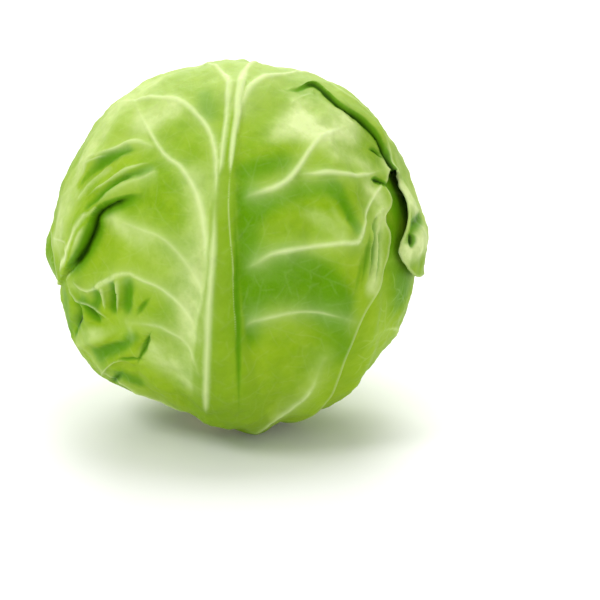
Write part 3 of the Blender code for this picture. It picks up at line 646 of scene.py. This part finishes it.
def drape(number, plane):
    # Outer face of a leaf over plane points, with what the material wants to know about each
    leaf = leaves[number]
    rise, shift, shade = foldShift(leaf, plane)
    moved = plane + shift
    directions = toDirections(leaf, moved)
    free = np.clip(gridValue(leaf["freeGrid"], moved), 0, 1)
    outer = gridValue(leaf["outerGrid"], moved)
    depthIn, place = inside(plane, leaf["edge"])
    depthIn = np.maximum(depthIn, 0)
    _, count, phase = leaf["wave"]
    curl = np.clip(1 - depthIn / headValues["curlReach"], 0, 1) ** 2
    loose = leaf["lift"] * mm * curl * (0.55 + 0.45 * np.sin(2 * math.pi * count * 0.8 * place + 2 * phase))
    loose += ruffles(leaf, depthIn, place) + sum(hill(plane, swell) for swell in leaf["swells"])
    loose -= pinchDepth(leaf, plane)
    if "wing" in leaf:
        loose += hill(plane, leaf["wing"]) * smooth(*leaf["wing"]["from"], plane[:, 0])
    small, dark, pale = smallForms(leaf, plane)
    rib = ribHeight(leaf, plane)
    radius = heartRadius(directions) + outer + rise + free * (loose + small) + rib
    points = directions * radius[:, None] + headMiddle
    # Painted shade of folds and creases goes out with the points
    return points, rib, free, depthIn, np.maximum(shade, dark), pale, directions


# Points of the leaf's plane: margin, rows along its lines, and a field between them
def rowsBeside(line, offsets):
    return [line + lineNormals(line) * offset for offset in offsets]


def stepped(points, step):
    line = openCurve(points, 60) if len(points) < 40 else np.array(points)
    return evenSteps(line, max(3, int(lineLength(line) / step) + 1))


def addClear(kept, cells, new, clear, size):
    # Keeps the new points that lie clear of those kept before
    for point in new:
        i, j = int(point[0] // size), int(point[1] // size)
        near = [q for a in (i - 1, i, i + 1) for b in (j - 1, j, j + 1) for q in cells.get((a, b), ())]
        if all((q[0] - point[0]) ** 2 + (q[1] - point[1]) ** 2 > clear * clear for q in near):
            kept.append((point[0], point[1]))
            cells.setdefault((i, j), []).append((point[0], point[1]))


def planeMesh(leaf, thinVeins):
    spacing, edge = leaf["spacing"], leaf["edge"]
    loop = np.vstack([edge, edge[:1]])
    margin = evenSteps(loop, int(lineLength(loop) / (0.75 * spacing)) + 1)[:-1]
    kept, cells = [], {}
    addClear(kept, cells, margin, 0.0, spacing)
    rows = []
    for kind in ("folds", "pinches", "creases", "ridges", "ribLines"):
        for feature in leaf[kind]:
            rows += rowsBeside(stepped(feature["path"], 0.8), meshRows[kind])
    rows += rowsBeside(stepped(leaf["rib"], 0.9), meshRows["rib"])
    for vein in leaf["veins"]:
        rows += rowsBeside(stepped(vein, 0.9), meshRows["veins"])
    for vein in thinVeins:
        rows += rowsBeside(stepped(vein["line"], 0.8), meshRows["thinVeins"])
    rows = np.vstack(rows)
    depthIn, _ = inside(rows, edge)
    addClear(kept, cells, rows[depthIn > 0.3], 0.36, spacing)
    side = np.arange(-120, 120, spacing)
    across, up = np.meshgrid(side, side * math.sqrt(0.75))
    across[1::2] += spacing / 2
    field = np.stack([across.ravel(), up.ravel()], 1)
    depthIn, _ = inside(field, edge)
    addClear(kept, cells, field[depthIn > 0.45 * spacing], 0.62 * spacing, spacing)
    made = delaunay_2d_cdt([Vector(p) for p in kept], [], [list(range(len(margin)))], 1, 1e-5)
    return np.array([tuple(p) for p in made[0]]), [tuple(face) for face in made[2]]


def growVeins(leaf):
    # Thin veins that leave the side veins at an angle and bend along with them
    values = thinVeinValues
    rng = np.random.default_rng(leaf["seed"])
    parents = [openCurve(vein, curveSteps["veins"]) for vein in leaf["veins"]] + [openCurve(leaf["rib"], 30)]
    grown, taken = [], {}

    def cellOf(point):
        return int(point[0] // values["cell"]), int(point[1] // values["cell"])

    def free(point, own):
        i, j = cellOf(point)
        near = [entry for a in (i - 1, i, i + 1) for b in (j - 1, j, j + 1)
                for entry in taken.get((a, b), ())]
        return all(owner == own or math.hypot(q[0] - point[0], q[1] - point[1]) >= values["clear"]
                   for q, owner in near)

    def claim(line, owner):
        for point in line:
            taken.setdefault(cellOf(point), []).append((point, owner))

    for number, parent in enumerate(parents):
        claim(stepped(parent, 1.0), number)
    owner = len(parents)
    for step, lengths, widths in zip(values["apart"], values["length"], values["widths"]):
        children = []
        for number, parent in enumerate(parents):
            line = stepped(parent, 1.0)
            for side in (-1, 1):
                at = step * rng.uniform(0.4, 1.1)
                while at < len(line) - 3:
                    k = int(at)
                    ahead = line[k + 1] - line[k]
                    heading = math.atan2(ahead[1], ahead[0])
                    heading += side * math.radians(rng.uniform(*values["turn"]))
                    point, path = line[k].copy(), [line[k].copy()]
                    bend = -side * rng.uniform(*values["bend"])
                    reach = rng.uniform(*lengths)
                    for travelled in range(int(reach)):
                        heading += bend + rng.normal(0, values["wander"])
                        point = point + np.array([math.cos(heading), math.sin(heading)])
                        x, y = ((point - gridSide[0]) / gridStep + 0.5).astype(int)
                        covered = leaf["freeGrid"][y, x] <= 0.15 or leaf["depthGrid"][y, x] < values["margin"]
                        if covered or travelled > 1 and not free(point, number):
                            break
                        path.append(point.copy())
                    path = np.array(path)
                    if len(path) > 3:
                        claim(path[2:], owner)
                        children.append({"line": path, "widths": widths})
                    owner += 1
                    at += step * rng.uniform(0.75, 1.3)
        grown += children
        parents = [child["line"] for child in children if len(child["line"]) > 5]
    return grown


def strokeField(plane, strokes, reach):
    # For each plane point, the strongest of the strokes near it: 1 on a stroke's middle, 0 past its width
    strength = np.zeros(len(plane))
    cell = 8.0
    order = np.floor(plane / cell).astype(int)
    buckets = {}
    for index, key in enumerate(map(tuple, order)):
        buckets.setdefault(key, []).append(index)
    for stroke in strokes:
        line = stroke["line"]
        low = np.floor((line.min(0) - reach) / cell).astype(int)
        high = np.floor((line.max(0) + reach) / cell).astype(int)
        near = [i for a in range(low[0], high[0] + 1) for b in range(low[1], high[1] + 1)
                for i in buckets.get((a, b), ())]
        if not near:
            continue
        near = np.array(near)
        distance, place, _ = nearLine(plane[near], line)
        width = along(stroke["widths"], place)
        fade = stroke.get("strength", 1.0) * smooth(1.0, 0.7, place)
        fade = fade * smooth(-0.02, stroke.get("rise", 0.0), place)
        value = fade * np.clip(1 - distance / width, 0, 1)
        strength[near] = np.maximum(strength[near], value)
    return strength


class NodeMaker:
    # Short ways to add nodes to one tree
    def __init__(self, tree):
        self.tree = tree

    def fill(self, node, inputs):
        # Links or values for a node's inputs, by name or number
        for name, value in dict(inputs).items():
            if isinstance(value, bpy.types.NodeSocket):
                self.tree.links.new(value, node.inputs[name])
            elif value is not None:
                node.inputs[name].default_value = value

    def add(self, kind, inputs=(), **settings):
        node = self.tree.nodes.new(kind)
        for name, value in settings.items():
            setattr(node, name, value)
        self.fill(node, inputs)
        return node

    def maths(self, kind, a, b=None):
        return self.add("ShaderNodeMath", enumerate((a, b)), operation=kind).outputs[0]

    def times(self, a, b):
        return self.maths("MULTIPLY", a, b)

    def plus(self, a, b):
        return self.maths("ADD", a, b)

    def attribute(self, name):
        if self.tree.bl_idname == "GeometryNodeTree":
            named = self.add("GeometryNodeInputNamedAttribute", {"Name": name}, data_type="FLOAT")
            return named.outputs["Attribute"]
        return self.add("ShaderNodeAttribute", attribute_name=name).outputs["Fac"]

    def mix(self, amount, a, b):
        return self.add("ShaderNodeMix", ((0, amount), (6, a), (7, b)), data_type="RGBA").outputs[2]

    def noise(self, vector, scale, detail=3.0, roughness=0.5):
        inputs = {"Vector": vector, "Scale": scale, "Detail": detail, "Roughness": roughness}
        return self.add("ShaderNodeTexNoise", inputs).outputs[0]

    def ramp(self, value, low, high, start=0.0, end=1.0):
        inputs = enumerate((value, low, high, start, end))
        return self.add("ShaderNodeMapRange", inputs, interpolation_type="SMOOTHSTEP").outputs[0]

    def bump(self, height, strength, distance):
        inputs = {"Strength": strength, "Distance": distance, "Height": height}
        return self.add("ShaderNodeBump", inputs).outputs[0]


def makeTree(name, kind, inputs, outputs):
    # Sockets are named with their kind, or with the first value of a plain number
    tree = bpy.data.node_groups.new(name, kind)
    for way, sockets in (("INPUT", inputs), ("OUTPUT", outputs)):
        for title, given in sockets.items():
            number = isinstance(given, float)
            form = "NodeSocket" + ("Float" if number else given)
            socket = tree.interface.new_socket(name=title, in_out=way, socket_type=form)
            if number:
                socket.default_value = given
    s = NodeMaker(tree)
    return tree, s, s.add("NodeGroupInput").outputs, s.add("NodeGroupOutput")


reliefValues = {
    "Vein Height": 0.0006, "Thin Vein Height": 0.00003, "Pucker Height": 0.0034, "Pucker Size": 0.020,
    "Seed": 1.0,
}


def buildReliefTree():
    # Raises the veins and puckers of a leaf's outer face; attributes of the sheet say where they run
    inputs = {"Geometry": "Geometry", **reliefValues, "Material": "Material"}
    tree, s, source, sink = makeTree("leafRelief", "GeometryNodeTree", inputs, {"Geometry": "Geometry"})
    grain = s.add("ShaderNodeTexNoise", {
        "Vector": s.add("GeometryNodeInputPosition").outputs[0], "W": source["Seed"],
        "Scale": s.maths("DIVIDE", 1.0, source["Pucker Size"]), "Detail": 3.0, "Roughness": 0.55,
    }, noise_dimensions="4D")
    puckers = s.times(s.maths("SUBTRACT", grain.outputs[0], 0.5), 2.0)
    puckers = s.times(s.times(puckers, source["Pucker Height"]), s.attribute("pucker"))
    crest = s.times(s.attribute("crest"), source["Vein Height"])
    thin = s.times(s.attribute("thin"), source["Thin Vein Height"])
    height = s.times(s.plus(s.plus(crest, thin), puckers), s.attribute("free"))
    normal = s.add("GeometryNodeInputNormal").outputs[0]
    offset = s.add("ShaderNodeVectorMath", {0: normal, "Scale": height}, operation="SCALE").outputs[0]
    move = s.add("GeometryNodeSetPosition", {"Geometry": source["Geometry"], "Offset": offset})
    real = s.add("GeometryNodeRealizeInstances", {0: move.outputs[0]})
    paint = s.add("GeometryNodeSetMaterial", {"Geometry": real.outputs[0], "Material": source["Material"]})
    s.fill(sink, {0: paint.outputs[0]})
    return tree


def setInput(modifier, tree, name, value):
    for item in tree.interface.items_tree:
        if item.name == name and item.in_out == "INPUT":
            modifier[item.identifier] = value


def makePlain(obj):
    # Puts the evaluated mesh in place of the modifiers
    bpy.context.view_layer.update()
    plain = bpy.data.meshes.new_from_object(obj.evaluated_get(bpy.context.evaluated_depsgraph_get()))
    old = obj.data
    obj.modifiers.clear()
    obj.data = plain
    plain.name = obj.name
    bpy.data.meshes.remove(old)


def storeFloats(mesh, name, values):
    layer = mesh.attributes.new(name, "FLOAT", "POINT")
    layer.data.foreach_set("value", np.ascontiguousarray(values, dtype=np.float32))


def storePlane(mesh, places):
    # Each point's place in the plane of its leaf, as the piece's own UV
    uv = mesh.uv_layers["plane"] if "plane" in mesh.uv_layers else mesh.uv_layers.new(name="plane")
    loops = np.zeros(len(mesh.loops), dtype=np.int32)
    mesh.loops.foreach_get("vertex_index", loops)
    uv.data.foreach_set("uv", places[loops].astype(np.float32).ravel())


def addObject(name, data):
    obj = bpy.data.objects.new(name, data)
    bpy.context.scene.collection.objects.link(obj)
    return obj


# Vein widths, as the least and what a vein's size adds, and reaches from the margin, in degrees of arc
sheetValues = {
    "planeScale": 0.015, "fullRib": 3.0, "paleMargin": 3.0, "smoothMargin": 4.0,
    "startWidth": (1.2, 1.7), "endWidth": (0.9, 0.7), "tentRise": 0.55, "ribLineRise": 0.15,
}


def makeLeaf(number, tree, material):
    leaf, v = leaves[number], sheetValues
    thinVeins = growVeins(leaf)
    plane, faces = planeMesh(leaf, thinVeins)
    points, rib, free, depthIn, shade, pale, directions = drape(number, plane)
    mains = [{**line, "rise": v["ribLineRise"]} for line in leaf["ribLines"]]
    for line, size, strength in zip(leaf["veinLines"], leaf["veinSizes"], leaf["veinStrengths"]):
        widths = [least + more * size for least, more in (v["startWidth"], v["endWidth"])]
        mains.append({"line": line, "widths": widths, "rise": leaf["veinRise"], "strength": strength})
    tents = np.zeros(len(plane))
    for line in leaf["veinLines"][:leaf["veinsInSolid"]]:
        distance, place, _ = nearLine(plane, line)
        fade = smooth(0, 0.12, place) * (1 - 0.55 * place)
        tents = np.maximum(tents, fade * np.exp(-distance / leaf["veinWidth"]))
    points += directions * (v["tentRise"] * leaf["veinHeight"] * mm * tents * free)[:, None]
    points[:, 2] = np.maximum(points[:, 2], headValues["floorRoom"] * mm)
    crest = np.maximum(strokeField(plane, mains, 2.5), pale)
    mesh = bpy.data.meshes.new(leaf["name"])
    mesh.from_pydata(points.tolist(), [], faces)
    storePlane(mesh, plane * v["planeScale"])
    thin = strokeField(plane, thinVeins, 1.0)
    fields = {
        "free": free, "crest": smooth(0.0, 1.0, crest), "thin": smooth(0.0, 1.0, thin),
        # The fold attribute holds the painted shade of folds and creases
        "rib": np.clip(rib / (v["fullRib"] * mm), 0, 1), "tent": tents, "fold": shade,
        "margin": np.clip(1 - depthIn / v["paleMargin"], 0, 1),
        "pucker": smooth(0, v["smoothMargin"], depthIn), "up": plane[:, 1] / 90.0,
        # Pale wax bloom and painted highlight above 0, painted shade below 0
        "tone": bloomHighlightShadeOf(leaf, plane),
    }
    for name, values in fields.items():
        storeFloats(mesh, name, values)
    obj = addObject(leaf["name"], mesh)
    mesh.materials.append(material)
    mesh.shade_smooth()
    thickness = headValues["blade"] * mm + rib
    most = float(thickness.max())
    group = obj.vertex_groups.new(name="thickness")
    for index, value in enumerate(thickness / most):
        group.add([index], float(value), "REPLACE")
    nodes = obj.modifiers.new("leafRelief", "NODES")
    nodes.node_group = tree
    for name, value in {**reliefValues, "Seed": float(leaf["seed"]), "Material": material}.items():
        setInput(nodes, tree, name, value)
    shell = obj.modifiers.new("shell", "SOLIDIFY")
    shell.thickness = most
    shell.offset = -1.0
    shell.vertex_group = "thickness"
    makePlain(obj)
    print(leaf["name"], len(obj.data.polygons), "faces,", len(thinVeins), "thin veins")
    return obj


# Materials
def buildVeinNet():
    # Net of the finest veins: lines between cells of two sizes, in the leaf's own plane
    inputs = {"Vector": "Vector", "Cell Scale": 18.0, "Line Width": 0.06}
    outputs = {"Lines": "Float", "Fine Lines": "Float"}
    tree, s, source, sink = makeTree("veinNet", "ShaderNodeTree", inputs, outputs)
    wobble = s.add("ShaderNodeTexNoise", {"Vector": source["Vector"], "Scale": 14.0}).outputs["Color"]
    inputs = {0: wobble, 1: (0.05, 0.05, 0.05), 2: source["Vector"]}
    shift = s.add("ShaderNodeVectorMath", inputs, operation="MULTIPLY_ADD").outputs[0]
    for name, factor in (("Lines", 1.0), ("Fine Lines", 2.7)):
        inputs = {"Vector": shift, "Scale": s.times(source["Cell Scale"], factor)}
        away = s.add("ShaderNodeTexVoronoi", inputs, feature="DISTANCE_TO_EDGE").outputs["Distance"]
        s.fill(sink, {name: s.ramp(away, 0.0, source["Line Width"], 1.0, 0.0)})
    return tree


def buildMottle():
    # Soft changes of tone at two sizes, and a fine grain
    outputs = {"Clouds": "Float", "Patches": "Float", "Grain": "Float"}
    tree, s, source, sink = makeTree("leafMottle", "ShaderNodeTree", {"Vector": "Vector"}, outputs)
    s.fill(sink, {
        "Clouds": s.ramp(s.noise(source[0], 26.0, 2.0), 0.3, 0.7),
        "Patches": s.ramp(s.noise(source[0], 95.0, 4.0, 0.6), 0.3, 0.7),
        "Grain": s.noise(source[0], 900.0, 3.0, 0.6),
    })
    return tree


def startMaterial(name):
    material = bpy.data.materials.new(name)
    material.use_nodes = True
    s = NodeMaker(material.node_tree)
    shader = material.node_tree.nodes["Principled BSDF"]
    return material, s, shader, s.add("ShaderNodeTexCoord").outputs["Object"]


leafLook = {
    "deepGreen": (0.155, 0.305, 0.002, 1), "midGreen": (0.235, 0.385, 0.008, 1),
    # The pale green serves veins, margins and wax bloom, and also painted highlight on leaf tops and pale
    # strokes
    "lightGreen": (0.33, 0.48, 0.03, 1), "paleGreen": (0.60, 0.71, 0.31, 1),
    "veinGreen": (0.64, 0.75, 0.36, 1),
    # Painted shade: a deeper green for shaded valleys and hollows, a saturated mid-dark green for shaded fold
    # walls and crease sides, and a near-black green for the bottoms of folds and creases
    "shadeGreen": (0.100, 0.260, 0.0005, 1), "foldMidShadeGreen": (0.085, 0.25, 0.001, 1),
    "foldDeepShadeGreen": (0.010, 0.045, 0.0005, 1), "ribGreen": (0.19, 0.33, 0.012, 1),
    "patchFade": 0.35, "topHighlightAndBloomFade": 0.4, "tentFade": 0.45, "ribFade": 0.6, "thinFade": 0.045, "veinFade": 0.72,
    "marginFade": 0.4, "foldMidShadeFade": 0.9, "foldDeepShadeFade": 0.95,
    "netScale": 9.0, "netWidth": 0.12, "netFade": 0.022, "fineNetFade": 0.011, "netBump": 0.15,
    "fineNetBump": 0.1, "grainBump": 0.16, "patchBump": 0.8, "bump": 0.5, "bumpDepth": 0.0004,
    "roughness": 0.44, "glow": 0.08, "glowDepth": 0.004, "glowTint": (0.5, 1.0, 0.12),
    "gloss": 0.045, "glossTint": (0.85, 1.0, 0.55, 1.0),
    "sheen": 0.005, "sheenSpread": 0.35, "sheenTint": (0.85, 1.0, 0.45, 1.0),
}
underLook = {
    **leafLook, "paleGreen": (0.42, 0.60, 0.09, 1), "veinGreen": (0.54, 0.69, 0.23, 1),
    "ribGreen": (0.47, 0.63, 0.17, 1), "ribFade": 0.75, "thinFade": 0.16,
    "netFade": 0.05, "fineNetFade": 0.025,
}
innerLook = {
    **leafLook, "deepGreen": (0.18, 0.38, 0.01, 1), "topHighlightAndBloomFade": 0.3, "ribGreen": (0.50, 0.66, 0.20, 1),
    "ribFade": 0.75, "thinFade": 0.14,
}
heartLook = {
    **leafLook, "deepGreen": (0.50, 0.66, 0.16, 1), "midGreen": (0.60, 0.74, 0.25, 1),
    "lightGreen": (0.68, 0.80, 0.36, 1),
}


def leafMaterial(name, values, veinNet, mottle):
    material, s, shader, place = startMaterial(name)
    plane = s.add("ShaderNodeUVMap", uv_map="plane").outputs[0]
    inputs = {"Vector": plane, "Cell Scale": values["netScale"], "Line Width": values["netWidth"]}
    lines, fineLines = s.add("ShaderNodeGroup", inputs, node_tree=veinNet).outputs
    clouds, patches, grain = s.add("ShaderNodeGroup", {0: place}, node_tree=mottle).outputs
    crest, tone, fold = s.attribute("crest"), s.attribute("tone"), s.attribute("fold")
    uneven = s.plus(0.6, s.times(patches, 0.6))
    faded = (
        (patches, "patchFade", "lightGreen"),
        # Pale wax bloom and painted highlight where the strokes rise above 0, painted shade where they fall
        # below 0
        (s.times(s.ramp(tone, 0.0, 1.0), uneven), None, "paleGreen"),
        (s.ramp(tone, 0.0, -1.0), None, "shadeGreen"),
        # Paler towards the top of each leaf: painted highlight from the light above, with some pale wax bloom
        (s.ramp(s.attribute("up"), 0.25, 1.0), "topHighlightAndBloomFade", "paleGreen"),
        (s.attribute("tent"), "tentFade", "paleGreen"),
        (fineLines, "fineNetFade", "paleGreen"),
        (lines, "netFade", "paleGreen"),
        (s.ramp(s.attribute("rib"), 0.35, 0.8), "ribFade", "ribGreen"),
        (s.attribute("thin"), "thinFade", "veinGreen"),
        (s.ramp(crest, 0.05, 0.95), "veinFade", "veinGreen"),
        (s.ramp(s.attribute("margin"), 0.6, 1.0), "marginFade", "paleGreen"),
        # Painted shade in folds and creases, from mid-dark to near black
        (s.ramp(fold, 0.0, 0.55), "foldMidShadeFade", "foldMidShadeGreen"),
        (s.ramp(fold, 0.5, 1.0), "foldDeepShadeFade", "foldDeepShadeGreen"),
    )
    green = s.mix(clouds, values["deepGreen"], values["midGreen"])
    for amount, fade, colour in faded:
        green = s.mix(s.times(amount, values[fade]) if fade else amount, green, values[colour])
    rough = s.plus(values["roughness"], s.times(patches, 0.12))
    height = s.plus(s.times(lines, values["netBump"]), s.times(fineLines, values["fineNetBump"]))
    height = s.plus(height, s.times(grain, values["grainBump"]))
    height = s.plus(height, s.times(patches, values["patchBump"]))
    s.fill(shader, {
        "Base Color": green, "Roughness": s.maths("SUBTRACT", rough, s.times(crest, 0.06)),
        "Normal": s.bump(height, values["bump"], values["bumpDepth"]),
        "Subsurface Weight": values["glow"], "Subsurface Radius": values["glowTint"],
        "Subsurface Scale": values["glowDepth"], "Specular IOR Level": values["gloss"],
        "Specular Tint": values["glossTint"], "Sheen Weight": values["sheen"],
        "Sheen Roughness": values["sheenSpread"], "Sheen Tint": values["sheenTint"],
    })
    return material


# The inner head's ball, with low steps where the margins of its outermost leaves run
heartValues = {"segments": 192, "rings": 96, "room": 1.2 * mm, "step": 0.35 * mm,
               "steps": ((0.4, 0.5, 0.25), (2.5, 0.35, 0.3), (4.4, 0.6, 0.2))}


def makeHeart(material):
    v = heartValues
    bpy.ops.mesh.primitive_uv_sphere_add(segments=v["segments"], ring_count=v["rings"], radius=1.0)
    obj = bpy.context.object
    obj.name = obj.data.name = "heartBall"
    mesh = obj.data
    where = np.zeros(len(mesh.vertices) * 3, dtype=np.float32)
    mesh.vertices.foreach_get("co", where)
    d = where.reshape(-1, 3).astype(float)
    d /= np.linalg.norm(d, axis=1)[:, None]
    steps = np.zeros(len(d))
    for turn, tilt, bend in v["steps"]:
        axis = np.array([math.cos(turn) * math.cos(tilt), math.sin(turn) * math.cos(tilt), math.sin(tilt)])
        across = d @ axis + bend * np.sin(3 * d[:, 2] + turn) * 0.4
        steps += v["step"] * smooth(-0.015, 0.015, across)
    radius = heartRadius(d) - v["room"] + steps
    mesh.vertices.foreach_set("co", (d * radius[:, None] + headMiddle).astype(np.float32).ravel())
    mesh.shade_smooth()
    storePlane(mesh, np.stack([np.arctan2(d[:, 1], d[:, 0]), np.arcsin(np.clip(d[:, 2], -1, 1))], 1) * 0.9)
    mesh.materials.clear()
    mesh.materials.append(material)
    return obj


stalkValues = {
    "radius": 17.5 * mm, "flare": 19.0 * mm, "top": 15.2 * mm, "edge": 1.3 * mm, "sides": 96,
    "ridge": 0.35 * mm, "ring": (0.0115, 0.0130, 0.0142, 0.0158), "bundles": 34.0, "rim": (0.0162, 0.0192),
    "flesh": (0.62, 0.60, 0.36, 1), "paleFlesh": (0.74, 0.74, 0.50, 1), "bundleGreen": (0.46, 0.47, 0.20, 1),
    "rimBrown": (0.40, 0.33, 0.14, 1), "cloudBrown": (0.56, 0.47, 0.25, 1),
    "bundleFade": 0.55, "rimFade": 0.55, "cloudFade": 0.25,
    "roughness": 0.55, "grainBump": 0.6, "bump": 0.6, "bumpDepth": 0.0004,
}


def stalkMaterial(mottle):
    # Cream flesh with a ring of paler bundles, browned towards the rim of the cut
    v = stalkValues
    material, s, shader, place = startMaterial("stalkFlesh")
    clouds, patches, grain = s.add("ShaderNodeGroup", {0: place}, node_tree=mottle).outputs
    centred = s.add("ShaderNodeMapping", {"Location": (-headMiddle[0], -headMiddle[1], 0), "Vector": place})
    x, y, _ = s.add("ShaderNodeSeparateXYZ", {0: centred.outputs[0]}).outputs
    reach = s.maths("SQRT", s.plus(s.times(x, x), s.times(y, y)))
    wander = s.plus(reach, s.times(s.noise(place, 160.0), 0.003))
    start, full, fades, end = v["ring"]
    ring = s.times(s.ramp(wander, start, full), s.ramp(wander, end, fades))
    dots = s.ramp(s.maths("SINE", s.times(s.maths("ARCTAN2", y, x), v["bundles"])), -0.2, 0.8)
    bundle = s.times(ring, dots)
    flesh = s.mix(patches, v["flesh"], v["paleFlesh"])
    rim = s.ramp(wander, *v["rim"])
    for amount, fade, colour in ((bundle, "bundleFade", "bundleGreen"), (rim, "rimFade", "rimBrown"),
                                 (clouds, "cloudFade", "cloudBrown")):
        flesh = s.mix(s.times(amount, v[fade]), flesh, v[colour])
    height = s.plus(s.times(grain, v["grainBump"]), bundle)
    s.fill(shader, {"Base Color": flesh, "Roughness": s.plus(v["roughness"], s.times(patches, 0.2)),
                    "Normal": s.bump(height, v["bump"], v["bumpDepth"])})
    return material


def makeStalk(material):
    # Lathed stub: flat cut face, rounded rim, and a flank with shallow upright ridges
    v = stalkValues
    sides, radius, flare, top, edge = v["sides"], v["radius"], v["flare"], v["top"], v["edge"]
    profile = [
        (0.0, 0.0), (0.35 * radius, 0.0), (0.7 * radius, 0.0), (radius - edge, 0.0),
        (radius - 0.3 * edge, 0.3 * edge), (radius, edge), (0.6 * radius + 0.4 * flare, 0.4 * top),
        (flare, 0.85 * top), (flare - 0.5 * mm, top), (0.5 * flare, top), (0.0, top),
    ]
    verts, faces = [], []
    for k, (reach, height) in enumerate(profile):
        if reach == 0.0:
            verts.append((headMiddle[0], headMiddle[1], height))
            continue
        for i in range(sides):
            turn = 2 * math.pi * i / sides
            wave = 0.5 + 0.5 * math.sin(7 * turn + 1.3 * math.sin(3 * turn))
            ridged = reach - (v["ridge"] * wave if 3 <= k <= 8 else 0.0)
            x, y = ridged * math.cos(turn), ridged * math.sin(turn)
            verts.append((headMiddle[0] + x, headMiddle[1] + y, height))
    rings = len(profile) - 2
    last = 1 + (rings - 1) * sides
    for i in range(sides):
        j = (i + 1) % sides
        faces.append((0, 1 + j, 1 + i))
        for r in range(rings - 1):
            a, b = 1 + r * sides, 1 + (r + 1) * sides
            faces.append((a + i, a + j, b + j, b + i))
        faces.append((last + i, last + j, len(verts) - 1))
    mesh = bpy.data.meshes.new("stalkStub")
    mesh.from_pydata(verts, [], faces)
    mesh.materials.append(material)
    mesh.shade_smooth()
    return addObject("stalkStub", mesh)


# The stage: a pale floor, soft lights as place, size and watts, and the photograph's camera
stageValues = {
    "halfFloor": 6, "pale": (0.88, 0.88, 0.89, 1), "palest": (0.92, 0.92, 0.93, 1),
    "lights": {
        "keyLight": ((-0.95, -0.8, 1.25), 0.6, 8.6), "topLight": ((0.15, 0.1, 1.5), 0.9, 8.0),
        "fillLight": ((1.3, -1.0, 0.5), 1.2, 3.8), "lowLight": ((-1.3, -1.1, 0.1), 1.0, 4.6),
        "backLight": ((0.0, 2.4, 1.8), 2.0, 50.0),
    },
    "lightsMeet": (0, 0, 0.08), "sky": (1.0, 0.99, 0.95, 1), "skyStrength": 0.7,
    "distance": 2.0, "photoSize": 600, "sensor": 36.0, "headPixels": 190.0, "headRadius": 0.0885,
}


def makeFloor():
    v = stageValues
    material, s, shader, place = startMaterial("paleFloor")
    s.fill(shader, {"Base Color": s.mix(s.noise(place, 3.0), v["pale"], v["palest"]), "Roughness": 0.85})
    mesh = bpy.data.meshes.new("floor")
    half = v["halfFloor"]
    corners = [(x * half, y * half, 0) for x, y in ((-1, -1), (1, -1), (1, 1), (-1, 1))]
    mesh.from_pydata(corners, [], [(0, 1, 2, 3)])
    mesh.materials.append(material)
    addObject("floor", mesh)


def makeCamera():
    v = stageValues
    pixels = v["headPixels"] / math.tan(math.asin(v["headRadius"] / v["distance"]))
    data = bpy.data.cameras.new("camera")
    data.sensor_width = v["sensor"]
    data.lens = pixels * v["sensor"] / v["photoSize"]
    data.clip_end = 30.0
    camera = addObject("camera", data)
    rise = math.radians(seenValues["elevation"])
    away = Vector((0, -math.cos(rise), math.sin(rise)))
    up = Vector((0, math.sin(rise), math.cos(rise)))
    middle, centre = Vector(headMiddle), v["photoSize"] / 2
    camera.location = middle + away * v["distance"]
    target = (middle + Vector((1, 0, 0)) * (centre - seenValues["middleX"]) / pixels * v["distance"]
              - up * (centre - seenValues["middleY"]) / pixels * v["distance"])
    camera.rotation_euler = (target - camera.location).to_track_quat("-Z", "Y").to_euler()
    bpy.context.scene.camera = camera


def makeLights():
    v = stageValues
    for name, (place, size, power) in v["lights"].items():
        data = bpy.data.lights.new(name, "AREA")
        data.shape, data.size, data.energy = "DISK", size, power
        obj = addObject(name, data)
        obj.location = place
        obj.rotation_euler = (Vector(v["lightsMeet"]) - Vector(place)).to_track_quat("-Z", "Y").to_euler()
    world = bpy.data.worlds.new("studio")
    world.use_nodes = True
    background = world.node_tree.nodes["Background"]
    background.inputs[0].default_value = v["sky"]
    background.inputs[1].default_value = v["skyStrength"]
    bpy.context.scene.world = world
    bpy.context.scene.view_settings.view_transform = "Standard"


def main():
    for leaf in leaves:
        finishLeaf(leaf)
    makeCamera()
    makeLights()
    makeFloor()
    print("stage ready")
    veinNet, mottle = buildVeinNet(), buildMottle()
    looks = {"leafInner": innerLook, "leafCrown": innerLook, "leafFront": leafLook}
    tree = buildReliefTree()
    for number, leaf in enumerate(leaves):
        leafGrids(number)
        look = looks.get(leaf["name"], underLook)
        piece = makeLeaf(number, tree, leafMaterial(leaf["name"] + "Green", look, veinNet, mottle))
        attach(piece, "root")
        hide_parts(leaf["node"])
    print("leaves ready")
    heart = makeHeart(leafMaterial("heartGreen", heartLook, veinNet, mottle))
    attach(heart, "root")
    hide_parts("heart")
    stalk = makeStalk(stalkMaterial(mottle))
    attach(stalk, "root")
    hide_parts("stalk")
    print("heart and stalk ready")


main()
